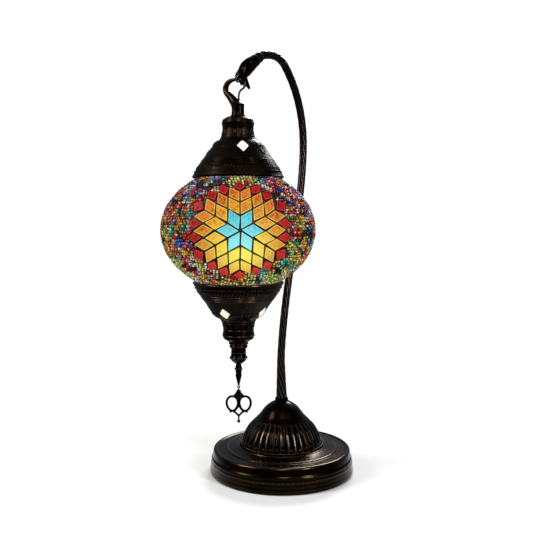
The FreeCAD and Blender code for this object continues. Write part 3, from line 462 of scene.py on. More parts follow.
# The raised ring edges of the top, the step on the skirt and the stamped leaves get the wear trait: partly wear,
# partly a painted highlight along the edges.
base_wear_and_highlight = (0.95 * np.exp(-((radius_now - 62.9) / 1.0) ** 2)
             + 0.8 * np.exp(-((radius_now - 49.7) / 0.9) ** 2)
             + 0.55 * np.exp(-((radius_now - 77.6) / 1.2) ** 2)) * (base_points[..., 2] > 27.0)
base_wear_and_highlight += 0.22 * np.exp(-((base_points[..., 2] - 17.8) / 0.6) ** 2)
leaf_rise = radius_now - np.interp(base_points[..., 2], (11.0, 16.2), (81.95, 81.3))
base_wear_and_highlight += 0.5 * np.clip(leaf_rise, 0, 0.4) * ((base_points[..., 2] > 11) & (base_points[..., 2] < 16.3))
base = grid_piece("base_skin", base_points, plate_bronze, "stand", {"wear_and_highlight": np.clip(base_wear_and_highlight, 0, 1)},
                  loop_rows=True)
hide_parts("base_shell")

# %% [markdown]
# ## The fluted dome
# A dome over the tie rod carries the neck. Its crown is smooth and its skirt is pressed into narrow lobes
# that fade out towards the crown. A twisted rope hides the seam between dome and base.

# %% Press the dome
LOBES = 34
dome_outer = smooth_line([(46.3, 32.3), (46.1, 35.0), (45.2, 39.5), (43.4, 44.5), (38.8, 52.8), (32.5, 59.5),
                          (28.6, 63.4), (25.6, 66.6), (19.0, 75.0), (12.0, 80.3), (7.4, 82.3), (4.3, 82.5)], 90)


def lobes(angle, height, radius):
    """Rounded lobes with sharp valleys between them, strongest on the skirt."""
    fade = np.clip((62.2 - height) / 2.2, 0, 1) * np.clip((height - 36.4) / 2.0, 0, 1)
    valley = 1 - np.abs(np.cos(LOBES * angle / 2)) ** 0.75
    return -(0.7 + 0.9 * (radius - 28) / 18) * np.clip(fade, 0, 1) ** 0.6 * valley


dome_inner = dome_outer[::-6][1:] - np.array([2.4, 2.2])
dome_inner = dome_inner[dome_inner[:, 0] > 4.3]
dome_inner[-1, 1] = 32.3
dome_top_points = lathe_points(dome_outer, LOBES * 14, lobes)
dome_under = lathe_points(dome_inner, LOBES * 14)
dome_points = np.concatenate([dome_top_points, dome_under])
dome_angle = np.arctan2(dome_points[..., 1], dome_points[..., 0])
# The lobe ridges get a little of the wear trait: partly wear, partly a painted highlight along each ridge.
dome_wear_and_highlight = 0.3 * np.abs(np.cos(LOBES * dome_angle / 2)) ** 24 * (dome_points[..., 2] < 61.5)
dome = grid_piece("dome_skin", dome_points, rubbed_sheen_bronze, "stand", {"wear_and_highlight": np.clip(dome_wear_and_highlight, 0, 1)}, 50, True)
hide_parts("fluted_dome")


# %% Lay the rope round the dome's foot
def rope_ring(radius, height, thick, strands, middle=(0.0, 0.0), steps=720, around=12):
    """A closed ring whose section is a soft trefoil that turns as it goes round, like laid rope."""
    turn = circle(steps)
    path = np.stack([middle[0] + radius * np.cos(turn), middle[1] + radius * np.sin(turn),
                     np.full(steps, height)], -1)
    out = np.stack([np.cos(turn), np.sin(turn), np.zeros(steps)], -1)
    phase = circle(around)[None, :]
    size = thick * (0.86 + 0.2 * np.cos(2 * phase - strands * turn[:, None]))
    points = path[:, None] + out[:, None] * (size * np.cos(phase))[..., None]
    points[..., 2] += size * np.sin(phase)
    return points, size


ROPE_RADIUS, ROPE_HEIGHT, ROPE_THICK, ROPE_STRANDS = 47.6, 33.4, 1.35, 120
rope, rope_size = rope_ring(ROPE_RADIUS, ROPE_HEIGHT, ROPE_THICK, ROPE_STRANDS)
rope_wear = np.clip(rope_size / ROPE_THICK - 0.92, 0, 1) * 6
rope_piece = grid_piece("dome_rope", rope, bronze, "stand", {"wear_and_highlight": rope_wear}, 80, True)

# %% [markdown]
# ## The neck
# The neck is a hollow bar with nine flutes, twisted cold before it was bent, so the flutes climb it like
# the stripes of a candy cane. It rises from a thick foot and thins over the first hand's breadth.

# %% Twist the neck
FOOT, NECK_TOP = 86.5, 474.5


def in_arm(reach, height):
    """A point of the neck's plane, so far out towards the lantern and so high."""
    return (0.0, -reach, height)


neck_corners = [in_arm(0, FOOT), in_arm(1.0, FOOT + 26), in_arm(1.5, FOOT + 52), in_arm(-5, FOOT + 100),
                in_arm(-17, FOOT + 155), in_arm(-30, FOOT + 210), in_arm(-39, FOOT + 262),
                in_arm(-41, NECK_TOP - 87), in_arm(-34.5, NECK_TOP - 54), in_arm(-18, NECK_TOP - 22.3),
                in_arm(8, NECK_TOP + 3.7),
                in_arm(34, NECK_TOP - 4)]
neck_path, neck_way = evenly(rounded_route(neck_corners, 40), 520)
neck_radius = 4.25 + 1.85 * np.clip(1 - neck_way / 52, 0, 1) ** 1.3
AROUND, FLUTES, TURN_LENGTH = 54, 9, 108.0
phase = circle(AROUND)[None, :]
ridge = np.abs(np.cos(FLUTES / 2 * (phase - 2 * math.pi * neck_way[:, None] / TURN_LENGTH)))
neck_section = neck_radius[:, None] * (1.04 - 0.15 * (1 - ridge ** 0.8))
neck_points = sweep_points(neck_path, (1, 0, 0), neck_section, neck_section, AROUND)
# The flutes carry the wear trait, strongest low on the neck: partly wear, partly painted highlight streaks.
rubbed_and_lit_low = np.interp(neck_path[:, 2], (90, 230, 300), (0.95, 0.7, 0.3))[:, None]
neck_wear_and_highlight = np.concatenate([np.zeros((1, AROUND)), ridge ** 8 * rubbed_and_lit_low, np.zeros((1, AROUND))])
neck = grid_piece("twisted_neck", neck_points, rubbed_sheen_bronze, "stand", {"wear_and_highlight": neck_wear_and_highlight}, 60)
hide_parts("stem")

# %% [markdown]
# ## The swan's head
# The neck ends in a bird's head with an open beak. A ridge of feathers marks where head and neck meet, the
# cheeks are flatter than they are deep, and a small lug in front holds the ring of the lantern.

# %% Shape the head
HEAD_POINTS, HEAD_AROUND = 110, 40
head_line = smooth_line([(33.0, 471.0, 4.5), (38.2, 468.6, 4.8), (43.6, 465.2, 5.6), (48.8, 461.7, 6.4),
                         (54.6, 457.9, 7.5), (59.4, 454.3, 8.1), (63.4, 450.6, 8.0), (66.2, 447.0, 6.8),
                         (67.8, 443.4, 4.9), (68.6, 439.8, 3.5), (69.0, 436.6, 2.4), (69.0, 433.8, 1.2)],
                        HEAD_POINTS)
head_path = np.stack([np.zeros(HEAD_POINTS), -head_line[:, 0], head_line[:, 1]], -1)
head_share = np.linspace(0, 1, HEAD_POINTS)[:, None]
head_phase = circle(HEAD_AROUND)[None, :]
feathers = 0.5 * np.exp(-((head_share - 0.13) / 0.03) ** 2) * (1 + 0.5 * np.cos(12 * head_phase))
feathers = feathers + 0.35 * np.exp(-((head_share - 0.24) / 0.02) ** 2) * (1 + 0.6 * np.cos(14 * head_phase))
crease_line = 0.5 * np.exp(-((head_share - 0.43) / 0.012) ** 2) * np.abs(np.cos(head_phase))
head_deep = head_line[:, 2:3] + feathers - crease_line
cheeks = 1 - 0.28 * np.exp(-((head_share - 0.55) / 0.25) ** 2)
head_wide = head_line[:, 2:3] * cheeks + feathers - crease_line
head_points = sweep_points(head_path, (1, 0, 0), head_wide, head_deep, HEAD_AROUND)
bill_line = smooth_line([(65.0, 443.2, 3.6), (63.0, 440.0, 3.0), (60.6, 437.0, 2.4), (58.4, 434.2, 2.0),
                         (56.3, 431.8, 1.3)], 30)
bill_path = np.stack([np.zeros(len(bill_line)), -bill_line[:, 0], bill_line[:, 1]], -1)
bill_points = sweep_points(bill_path, (1, 0, 0), bill_line[:, 2] * 0.9, bill_line[:, 2], 20)
LUG_RADIUS = 2.25
lug_turn = circle(40)
lug_path = np.stack([LUG_RADIUS * np.cos(lug_turn), np.full(len(lug_turn), -REACH),
                     EYE_HEIGHT + LUG_RADIUS * np.sin(lug_turn)], -1)
lug_points = sweep_points(lug_path, (0, 1, 0), 1.25, 1.0, 14, closed=True)
brow_line = smooth_line([(64.5, 451.0, 4.6), (68.5, 449.6, 3.6), (72.0, 448.0, 2.6), (75.0, 446.6, 1.5)], 20)
brow_path = np.stack([np.zeros(len(brow_line)), -brow_line[:, 0], brow_line[:, 1]], -1)
brow_points = sweep_points(brow_path, (1, 0, 0), brow_line[:, 2] * 0.9, brow_line[:, 2], 20)
eyes = [ball_points(1.3, 9, 14) + np.array([side * 6.1, -58.5, 455.5]) for side in (-1, 1)]
head_parts = [skin_of(head_points), skin_of(bill_points), skin_of(lug_points, True), skin_of(brow_points)]
head_parts += [skin_of(eye) for eye in eyes]
head_cloud, head_faces = joined(head_parts)
head_wear = np.zeros(len(head_cloud))
no_wear = np.zeros((1, HEAD_AROUND))
ridge_wear = np.concatenate([no_wear, np.clip(feathers * 0.9, 0, 1), no_wear]).ravel()
head_wear[:len(ridge_wear)] = ridge_wear
head = make_piece("swan_head_skin", head_cloud, head_faces, bronze, "stand", {"wear_and_highlight": head_wear}, crease=60)
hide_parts("swan_head")

# %% [markdown]
# ## The hook
# The lantern hangs by a wrought hook that swells at its belly and is drawn out thin at the tip, as a smith
# leaves it. It stands in a small socket on the upper cap.

# %% Forge the hook
HOOK_POINTS, HOOK_AROUND = 120, 24
hook_line = smooth_line([(-1.5, 409.5, 5.6), (-3.6, 414.6, 5.4), (-7.6, 419.4, 4.8), (-12.2, 423.6, 3.9),
                         (-16.2, 427.6, 3.4), (-17.3, 432.0, 3.2), (-15.0, 436.2, 2.9), (-10.6, 438.7, 2.4),
                         (-6.0, 439.3, 1.8),
                         (-3.0, 439.4, 1.5), (1.5, 439.2, 1.5), (5.5, 437.9, 1.3), (8.0, 436.1, 0.9)],
                        HOOK_POINTS)
hook_path = np.stack([hook_line[:, 0], np.full(HOOK_POINTS, -REACH), hook_line[:, 1]], -1)
hook_points = sweep_points(hook_path, (0, 1, 0), hook_line[:, 2] * 0.96, hook_line[:, 2], HOOK_AROUND)
no_wear = np.zeros((1, HOOK_AROUND))
hook_wear = np.concatenate([no_wear, np.full((HOOK_POINTS, HOOK_AROUND), 0.06), no_wear])
hook = grid_piece("wrought_hook", hook_points, bronze, "lantern", {"wear_and_highlight": hook_wear})
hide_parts("lantern_hook")
sleeve_profile = np.vstack([bow((7.0, 399.4), (7.3, 402.2), 0.5, 6),
                            bow((6.9, 402.8), (6.7, 413.6), -0.25, 8),
                            bow((6.9, 413.9), (5.6, 415.4), 0.4, 6)])
SLEEVE_WALL = np.array([0.6, 0.0])
sleeve_points = lathe_points(np.vstack([sleeve_profile, sleeve_profile[::-1] - SLEEVE_WALL]), 96) + AXIS
slant = np.clip((sleeve_points[..., 2] - 408.0) / 7.4, 0, 1) * np.clip(-(sleeve_points[..., 0]) / 7.0, -1, 1)
sleeve_points[..., 2] += 1.5 * slant
unworn = np.zeros(sleeve_points.shape[:2])
sleeve = grid_piece("hook_sleeve", sleeve_points, bronze, "lantern", {"wear_and_highlight": unworn}, 60, True)

# %% [markdown]
# ## The lead between beak and lantern
# The supply lead leaves the beak and drops into the lantern's socket. The real lead bends when the lantern
# swings; here it is made in two lengths that meet beside the ring.

# %% Run the lead
LEAD_POINTS, LEAD_RADIUS = 90, 1.1
lead_line = smooth_line([(64.4, 434.4), (65.4, 431.8), (68.8, 429.6), (72.2, 426.6), (73.8, 421.5),
                         (73.4, 415.0), (72.8, 409.0)], LEAD_POINTS)
lead_path = np.stack([np.zeros(LEAD_POINTS), -lead_line[:, 0], lead_line[:, 1]], -1)
JOINT_AT = 42
for label, piece_path, bodies in (("lead_from_beak", lead_path[:JOINT_AT + 1], ("stand", "eye")),
                                  ("lead_to_socket", lead_path[JOINT_AT:], ("eye", "lantern"))):
    lead_points = sweep_points(piece_path, (1, 0, 0), LEAD_RADIUS, LEAD_RADIUS, 14)
    lead_piece = grid_piece(label, lead_points, plain["lead_jacket"], None)
    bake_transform(lead_piece)
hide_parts("lantern_lead")

# %% [markdown]
# ## The pressed caps
# Both caps are the same pressed bell, the lower one turned upside down. The design file keeps the bell and
# its diamond windows; here the stamped ornament is laid on its outer line: a row of beads under the rim, a
# band of slanted leaves, plain ribs, an arch between each pair of windows and small marks on the neck.

# %% Measure the bell's outer line
def bell_arc(start, end, radius, count=10):
    """An arc between two profile points; a positive radius bulges to the left of the way it runs."""
    start, end = np.array(start, float), np.array(end, float)
    chord = end - start
    left = np.array([-chord[1], chord[0]]) / np.hypot(*chord) * math.copysign(1, radius)
    middle = (start + end) / 2 - left * math.sqrt(radius ** 2 - chord @ chord / 4)
    first, last = (np.arctan2(*(spot - middle)[::-1]) for spot in (start, end))
    angle = np.linspace(first, last, count)
    return middle + abs(radius) * np.stack([np.cos(angle), np.sin(angle)], -1)


RIM, NECK, SHOULDER, TALL = 48.0, 16.2, 17.2, 64.0
bell_line = np.vstack([
    [(RIM, 0.0), (RIM + 0.4, 1.8), (RIM - 1.6, 5.5), (RIM - 4.3, 10.7)],
    bell_arc((RIM - 18.5, TALL - 33.0), (NECK + 4.7, TALL - 24.6), -TALL * 0.25),
    bell_arc((NECK + 4.7, TALL - 24.6), (NECK + 1.6, TALL - 20.0), TALL * 0.12)[1:],
    [(NECK, TALL - 13.0), (SHOULDER, TALL - 6.0), (SHOULDER - 1.2, TALL - 2.6), (SHOULDER - 5.4, TALL)],
])


def on_bell(height, turn, lift):
    """Points on the bell at a height above its rim and an angle round it, raised by lift square to the
    metal."""
    height, turn, lift = np.broadcast_arrays(*(np.asarray(value, float) for value in (height, turn, lift)))
    radius = np.interp(height, bell_line[:, 1], bell_line[:, 0])
    slope = (np.interp(height + 0.2, bell_line[:, 1], bell_line[:, 0])
             - np.interp(height - 0.2, bell_line[:, 1], bell_line[:, 0])) / 0.4
    steep = np.sqrt(1 + slope ** 2)
    radius, level = radius + lift / steep, height - lift * slope / steep
    return np.stack([radius * np.cos(turn), radius * np.sin(turn), level], -1)


def bell_strip(heights, turns, half, rise):
    """A raised line drawn on the bell: a flat oval bead along (height, angle) stations."""
    line = on_bell(heights, turns, 0.0)
    out = on_bell(heights, turns, 1.0) - line
    ahead = np.gradient(line, axis=0)
    ahead = ahead / np.linalg.norm(ahead, axis=1)[:, None]
    aside = np.cross(out, ahead)
    angle = circle(8)
    points = (line[:, None] + aside[:, None] * (half * np.cos(angle))[None, :, None]
              + out[:, None] * (rise * np.sin(angle))[None, :, None])
    return skin_of(np.concatenate([line[:1, None].repeat(8, 1), points, line[-1:, None].repeat(8, 1)]))


def bell_ring(height, half, rise):
    """A plain raised rib all the way round the bell."""
    turn = circle(144)[None, :]
    angle = circle(8)[:, None]
    return skin_of(on_bell(height + half * np.cos(angle), turn, rise * np.sin(angle)), True)


print("the bell is", round(bell_line[:, 1].max(), 1), "mm tall")


# %% Stamp the ornament and turn it for each cap
WINDOW_HEIGHT, FRAME_HALF = 32, 7.3


def ornament(quarter_turn):
    """All raised ornament of one bell standing on its rim, with its windows at quarter_turn."""
    parts = [bell_ring(level, half, rise) for level, half, rise in (
        (1.2, 0.8, 0.5), (13.6, 0.35, 0.45), (15.6, 0.3, 0.4), (17.0, 0.3, 0.4), (18.6, 0.45, 0.5),
        (41.6, 0.35, 0.4), (44.4, 0.3, 0.35), (51.5, 0.5, 0.45), (57.6, 0.5, 0.4))]
    ball = ball_points(0.72, 5, 8)
    faces = grid_faces(5, 8)
    turns = circle(120)
    middles = on_bell(6.3, turns, 0.15)
    parts.append(strewn(ball, faces, middles, np.repeat(np.eye(3)[None], len(turns), 0)))
    for turn in circle(72):
        share = np.linspace(0, 1, 6)
        parts.append(bell_strip(9.0 + 2.9 * share, turn + 0.055 * share, 0.5, 0.45))
    for k in range(4):
        middle = quarter_turn + math.pi / 4 + k * math.pi / 2
        sweep = np.linspace(0, math.pi, 24)
        sides = np.linspace(0, 1, 8)[:-1]
        level = np.r_[38.6 - 9.4 * sides, 29.2 - 4.6 * np.sin(sweep), 29.2 + 9.4 * (1 - sides[::-1])]
        half_wide = 3.9
        across = np.r_[np.full(7, half_wide), half_wide * np.cos(sweep), np.full(7, -half_wide)]
        reach = np.interp(level, bell_line[:, 1], bell_line[:, 0])
        parts.append(bell_strip(level, middle + across / reach, 0.38, 0.42))
        for dot in (-1, 1):
            spot = on_bell(39.4, middle + dot * 5.2 / 22.0, 0.2)
            parts.append(strewn(ball, faces, spot[None], np.eye(3)[None]))
        spot = on_bell(33.0, middle, 0.1)
        parts.append(strewn(ball * np.array([1.0, 1.0, 2.0]), faces, spot[None], np.eye(3)[None]))
        window = quarter_turn + k * math.pi / 2
        corner = np.array([(-1, 0), (0, 1), (1, 0), (0, -1), (-1, 0)]) * FRAME_HALF + (WINDOW_HEIGHT, 0)
        line, _ = evenly(np.c_[corner, np.zeros(5)], 41)
        reach = np.interp(line[:, 0], bell_line[:, 1], bell_line[:, 0])
        parts.append(bell_strip(line[:, 0], window + line[:, 1] / reach, 0.32, 0.32))
    marks = circle(16) + quarter_turn
    for turn in marks:
        share = np.linspace(-1, 1, 5)
        parts.append(bell_strip(47.9 + 1.8 * share, np.full(5, turn), 0.9, 0.35))
    return joined(parts)


UPPER_TURN, LOWER_TURN = 51.6, 12.0
for label, node_name, quarter, rim, side in (("upper", "top_cap", math.radians(UPPER_TURN), UPPER_RIM, 1),
                                             ("lower", "bottom_cap", math.radians(LOWER_TURN), LOWER_RIM, -1)):
    cloud, cells = ornament(quarter if side > 0 else -quarter)
    cloud = cloud * np.array([1, side, side]) + AXIS + np.array([0, 0, rim])
    # The two caps' ornament differ only in how much of the wear trait they carry, 0.5 below and 0.04 above: a
    # painted highlight on the lower cap and painted shade on the upper one.
    make_piece(label + "_cap_ornament", cloud, cells, bronze, "lantern",
                             {"wear_and_highlight": np.full(len(cloud), 0.04 if side > 0 else 0.5)}, crease=60)

# %% [markdown]
# ## Light inside the caps
# The bells are dark outside, and on their inner face the bulb's light is painted in as a glow, which shines
# out through the windows. The material tells the two faces apart by whether the metal faces the lantern's axis.

# %% Material of the bells
INNER_GLOW = 1.6


def bell_metal(name, lit_height, tint, rough):
    """Bronze outside, with the bulb's light painted on the inside as a glow: dark at the rim, bright just within
    it, then fading with depth.
    """
    material = bronze_like(name, (0.0026, 0.0018, 0.0008), (0.011, 0.0068, 0.0024), (0.26, 0.15, 0.08), rough)
    tree = material.node_tree
    shader = tree.nodes["Principled BSDF"]
    spot = add_node(tree, "ShaderNodeTexCoord").outputs["Object"]
    away = add_node(tree, "ShaderNodeVectorMath", {0: spot}, operation="SUBTRACT")
    away.inputs[1].default_value = (0.0, -REACH * MM, 0.0)
    level = add_node(tree, "ShaderNodeVectorMath", {0: away.outputs[0]}, operation="MULTIPLY")
    level.inputs[1].default_value = (1.0, 1.0, 0.0)
    facing = add_node(tree, "ShaderNodeVectorMath", {0: level.outputs[0]}, operation="DOT_PRODUCT")
    tree.links.new(add_node(tree, "ShaderNodeNewGeometry").outputs["True Normal"], facing.inputs[1])
    inner = calculate(tree, "LESS_THAN", facing.outputs["Value"], -0.0005)
    high = add_node(tree, "ShaderNodeSeparateXYZ", {0: spot}).outputs["Z"]
    way = math.copysign(1.0, lit_height - GLOBE_MIDDLE * MM)
    fade = remap(tree, high, lit_height, lit_height + way * 0.075, 1.0, 0.25)
    deep = remap(tree, high, lit_height + way * 0.009, lit_height + way * 0.014, 0.0, 1.0)
    lit = calculate(tree, "MULTIPLY", calculate(tree, "MULTIPLY", inner, deep), fade)
    tree.links.new(mix_colours(tree, lit, (0.0, 0.0, 0.0), tint), shader.inputs["Emission Color"])
    shader.inputs["Emission Strength"].default_value = INNER_GLOW
    return material


upper_metal = bell_metal("upper bell metal", 0.336, (1.0, 0.93, 0.80), (0.34, 0.5))
lower_metal = bell_metal("lower bell metal", 0.226, (1.0, 0.90, 0.70), (0.2, 0.36))
print("bell metal ready")

# %% [markdown]
# ## The star on the globe
# Each of three stars is a sixfold lattice of glass rhombi. From the middle outwards it has rings of six,
# twelve and eighteen, and a red tile sits in every notch of the outer edge. The lattice is flat geometry
# laid on the ball: a distance on the star becomes the same distance on the glass.

# %% Lay out the star
PITCH, NOTCH_SIDE, NOTCH_GAP = 13.7, 10.3, 1.2
TILE_BASE = 0.6
STAR_TURN, STAR_RISE = math.radians(-47.0), 1.0


def star_frame(index):
    """The outward, sideways and upward directions at the middle of one star."""
    turn = STAR_TURN + index * 2 * math.pi / 3
    lift = STAR_RISE / GLOBE_RADIUS
    out = np.array([math.cos(turn) * math.cos(lift), math.sin(turn) * math.cos(lift), math.sin(lift)])
    side = np.cross((0, 0, 1), out)
    side = side / np.linalg.norm(side)
    return out, side, np.cross(out, side)


def on_globe(star, flat, offset):
    """Points of the glass, raised by offset, for flat star positions (across, up)."""
    out, side, high = star
    distance = np.maximum(np.hypot(flat[..., 0], flat[..., 1]), 1e-6)[..., None]
    bend = distance / GLOBE_RADIUS
    way = out * np.cos(bend) + (side * flat[..., :1] + high * flat[..., 1:2]) * (np.sin(bend) / distance)
    wide, tall = GLOBE_RADIUS + offset, GLOBE_HALF + offset
    reach = 1 / np.sqrt((way[..., 0] ** 2 + way[..., 1] ** 2) / wide ** 2 + way[..., 2] ** 2 / tall ** 2)
    return way * reach[..., None]


def lattice(i, j, sector):
    """A corner of the lattice between two neighbouring rays of the star."""
    first, second = math.radians(90 + 60 * sector), math.radians(150 + 60 * sector)
    return np.array([PITCH * (i * math.cos(first) + j * math.cos(second)),
                     PITCH * (i * math.sin(first) + j * math.sin(second))])


def rhombus_ring(ring):
    """The rhombi of one ring of the star."""
    return [[lattice(i, ring - 1 - i, s), lattice(i + 1, ring - 1 - i, s), lattice(i + 1, ring - i, s),
             lattice(i, ring - i, s)] for s in range(6) for i in range(ring)]


def notch_tile(root, heading, corner, gap):
    """A tile of equal sides that points back along its heading into a notch."""
    long, wide = NOTCH_SIDE * math.cos(corner / 2), NOTCH_SIDE * math.sin(corner / 2)
    way = np.array([math.cos(heading), math.sin(heading)])
    aside = np.array([-math.sin(heading), math.cos(heading)])
    corners = ((gap, 0), (gap + long, -wide), (gap + 2 * long, 0), (gap + long, wide))
    return [root + way * ahead + aside * across for ahead, across in corners]


def notch_ring():
    """One red tile in each of the eighteen notches."""
    tiles = []
    for sector in range(6):
        ray = math.radians(90 + 60 * sector)
        tiles.append(notch_tile(lattice(3, 0, sector), ray, math.pi / 2, NOTCH_GAP))
        heading = math.radians(120 + 60 * sector)
        corner = math.radians(60 + 14 * abs(math.sin(heading)))
        back = NOTCH_SIDE * (math.sqrt(3) * math.sin(corner / 2) - math.cos(corner / 2)) + NOTCH_GAP
        tiles += [notch_tile(lattice(i, j, sector), heading, corner, back) for i, j in ((2, 1), (1, 2))]
    return tiles


stars = [star_frame(index) for index in range(3)]
rings = {"turquoise": np.array(rhombus_ring(1)), "amber": np.array(rhombus_ring(2)),
         "orange": np.array(rhombus_ring(3)), "red": np.array(notch_ring())}
print({label: len(tiles) for label, tiles in rings.items()}, "tiles to a star")


# %% Cut the tiles
def cut_tiles(cells, shrink):
    """Slabs of hand-cut glass for every star: corners a little rounded and out of true, an eased upper
    edge, and an uneven face. Returns points, faces and three traits: rim, tone and glow."""
    count = len(cells)
    points, rims, tones, glows = [], [], [], []
    factors = np.array([0.97, 1.0, 1.0, 0.975, 0.92, 0.82, 0.55, 0.28, 0.0])
    heights = np.array([-0.5, 0.3, 1.55, 1.95, 2.15, 2.12, 2.12, 2.12, 2.12])
    for star in stars:
        middle = cells.mean(1, keepdims=True)
        loose = (cells - middle) * shrink
        loose = loose * (1 + rng.normal(0, 0.02, (count, 4, 1)))
        tilt = rng.normal(0, math.radians(2.2), count)
        turn = np.stack([np.cos(tilt), -np.sin(tilt), np.sin(tilt), np.cos(tilt)], -1).reshape(count, 2, 2)
        loose = np.einsum("nij,nkj->nki", turn, loose)
        before, after = np.roll(loose, 1, 1) - loose, np.roll(loose, -1, 1) - loose
        before = unit(before)
        after = unit(after)
        runs = [loose + before * 0.9, loose + (before + after) * 0.16, loose + after * 0.9]
        sides = [loose + (np.roll(loose, -1, 1) - loose) * share for share in (0.3, 0.5, 0.7)]
        outline = np.stack(runs + sides, 2).reshape(count, 24, 2)
        flat = middle[:, None] + outline[:, None] * factors[None, :, None, None]
        laid = on_globe(star, flat, TILE_BASE)
        anchor = on_globe(star, middle[:, 0], TILE_BASE)
        normal = anchor / np.array([(GLOBE_RADIUS + TILE_BASE) ** 2] * 2 + [(GLOBE_HALF + TILE_BASE) ** 2])
        normal = unit(normal)
        rise = np.einsum("nrck,nk->nrc", laid - anchor[:, None, None], normal)
        uneven = rng.normal(0, 0.10, (count, len(factors), 24)) * (factors < 0.9)[None, :, None]
        uneven[:, -1] = uneven[:, -1, :1]
        lift = heights[None, :, None] + uneven - rise
        points.append(laid + normal[:, None, None] * lift[..., None])
        rims.append(np.broadcast_to(factors[None, :, None], lift.shape))
        tones.append(np.broadcast_to(rng.random(count)[:, None, None], lift.shape))
        # The glow trait is a painted pool of the bulb's light, brightest a little below the middle of each star.
        low = np.linalg.norm((flat - np.array([2.0, -21.0])) * np.array([0.8, 1.0]), axis=-1)
        glows.append(np.exp(-(low / 25.0) ** 2))
    cloud = np.concatenate(points).reshape(-1, 3) + AXIS + np.array([0, 0, GLOBE_MIDDLE])
    tile = grid_faces(len(factors), 24)
    step = len(factors) * 24
    faces = (tile[None] + (np.arange(3 * count) * step)[:, None, None]).reshape(-1, 4)
    traits = {"rim": np.concatenate(rims).ravel(), "tone": np.concatenate(tones).ravel(),
              "glow": np.concatenate(glows).ravel()}
    return cloud, faces, traits


def lit_glass(name, deep, clear, edge, strength=1.0, streak=260.0):
    """Coloured glass with the bulb's light behind it painted in as a glow: streaks run through it, the cut
    edges carry a painted highlight and the sides painted shade, the glow trait is a painted pool of light,
    and each tile has its own depth of colour."""
    material = bpy.data.materials.new(name)
    material.use_nodes = True
    tree = material.node_tree
    shader = tree.nodes["Principled BSDF"]
    tone, rim, glow = (add_node(tree, "ShaderNodeAttribute", attribute_name=trait).outputs["Fac"]
                       for trait in ("tone", "rim", "glow"))
    spot = add_node(tree, "ShaderNodeTexCoord").outputs["Object"]
    swirl = add_node(tree, "ShaderNodeTexNoise", {"Vector": spot}, Scale=streak, Detail=4.0, Distortion=1.6)
    streaks = ramp(tree, swirl.outputs["Fac"], [(0.36, 0.0), (0.64, 1.0)])
    shifted = add_node(tree, "ShaderNodeMath", {0: tone, 1: streaks}, operation="MULTIPLY_ADD")
    shifted.inputs[1].default_value = 0.45
    tree.links.new(streaks, shifted.inputs[2])
    body = mix_colours(tree, shifted.outputs[0], deep, clear)
    hot = mix_colours(tree, glow, body, edge)
    edges = ramp(tree, rim, [(0.78, 0.0), (0.92, 0.62), (0.975, 0.3), (1.0, 0.0)])
    rimmed = mix_colours(tree, edges, hot, edge)
    dim = ramp(tree, rim, [(0.0, 1.0), (0.95, 0.95), (1.0, 0.12)])
    shone = mix_colours(tree, 1.0, rimmed, dim, "MULTIPLY")
    tree.links.new(mix_colours(tree, 1.0, body, (0.12, 0.12, 0.12), "MULTIPLY"), shader.inputs["Base Color"])
    tree.links.new(shone, shader.inputs["Emission Color"])
    shader.inputs["Specular IOR Level"].default_value = 0.06
    shader.inputs["Emission Strength"].default_value = strength
    bump = add_node(tree, "ShaderNodeBump", {"Height": swirl.outputs["Fac"]}, Strength=0.5, Distance=0.0006)
    tree.links.new(bump.outputs[0], shader.inputs["Normal"])
    shader.inputs["Roughness"].default_value = 0.26
    return material


glasses = {
    "turquoise": lit_glass("turquoise glass", (0.012, 0.26, 0.36), (0.08, 0.56, 0.66), (0.36, 0.92, 0.90)),
    "amber": lit_glass("amber glass", (0.42, 0.085, 0.008), (0.80, 0.32, 0.022), (1.0, 0.90, 0.13)),
    "orange": lit_glass("orange glass", (0.34, 0.045, 0.008), (0.66, 0.19, 0.020), (0.98, 0.84, 0.13)),
    "red": lit_glass("red glass", (0.13, 0.004, 0.006), (0.42, 0.012, 0.012), (0.80, 0.10, 0.06)),
}
for label, cells in rings.items():
    cloud, faces, traits = cut_tiles(cells, 0.912 if label != "red" else 0.99)
    tiles = make_piece("tiles_" + label + "_cut", cloud, faces, glasses[label], "lantern", traits, crease=50)
    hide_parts("tiles_" + label)

# %% [markdown]
# ## The bed between the stones
# Dark putty fills every gap. It is wiped by hand, so its surface is uneven; here a few crossing waves of
# random direction give it that roughness.

# %% Spread the putty
def waves(points, count, length, seed):
    """A smooth random height: crossing sine waves of about one length, in random directions."""
    source = np.random.default_rng(seed)
    ways = source.normal(size=(count, 3))
    ways = unit(ways) * (2 * math.pi / length)
    return np.sin(points @ ways.T + source.uniform(0, 2 * math.pi, count)).mean(-1)


bed_up = np.arcsin(np.linspace(-BAND_HALF - 3.4, BAND_HALF + 3.4, 156) / (GLOBE_HALF + 0.95))
bed_turn = circle(420)


def bed_layer(up, offset):
    """Rows of points round the globe at one offset from the glass."""
    wide, tall = GLOBE_RADIUS + offset, GLOBE_HALF + offset
    return round_axis(wide * np.cos(up)[:, None], bed_turn, tall * np.sin(up)[:, None])


bed_outer = bed_layer(bed_up, 0.95)
bed_outer = bed_outer * (1 + 0.004 * waves(bed_outer, 14, 4.0, 5))[..., None]
bed_points = np.concatenate([bed_outer, bed_layer(bed_up[::-8], 0.06)])
bed_points = bed_points + AXIS + np.array([0, 0, GLOBE_MIDDLE])
putty = grained("dark putty", (0.006, 0.003, 0.002), (0.035, 0.014, 0.006), 240, (0.35, 0.7), bump=0.8)
bed = grid_piece("putty_bed", bed_points, putty, "lantern", loop_rows=True)
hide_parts("grout_bed")

# %% [markdown]
# ## Thousands of beads
# Round the stars the glass is covered with seed beads. They are laid in rows that follow the ball, shaken a
# little, and left out wherever a tile lies. Their colours come in drifts: the maker pours a few colours at
# a time, so near neighbours mostly share one.

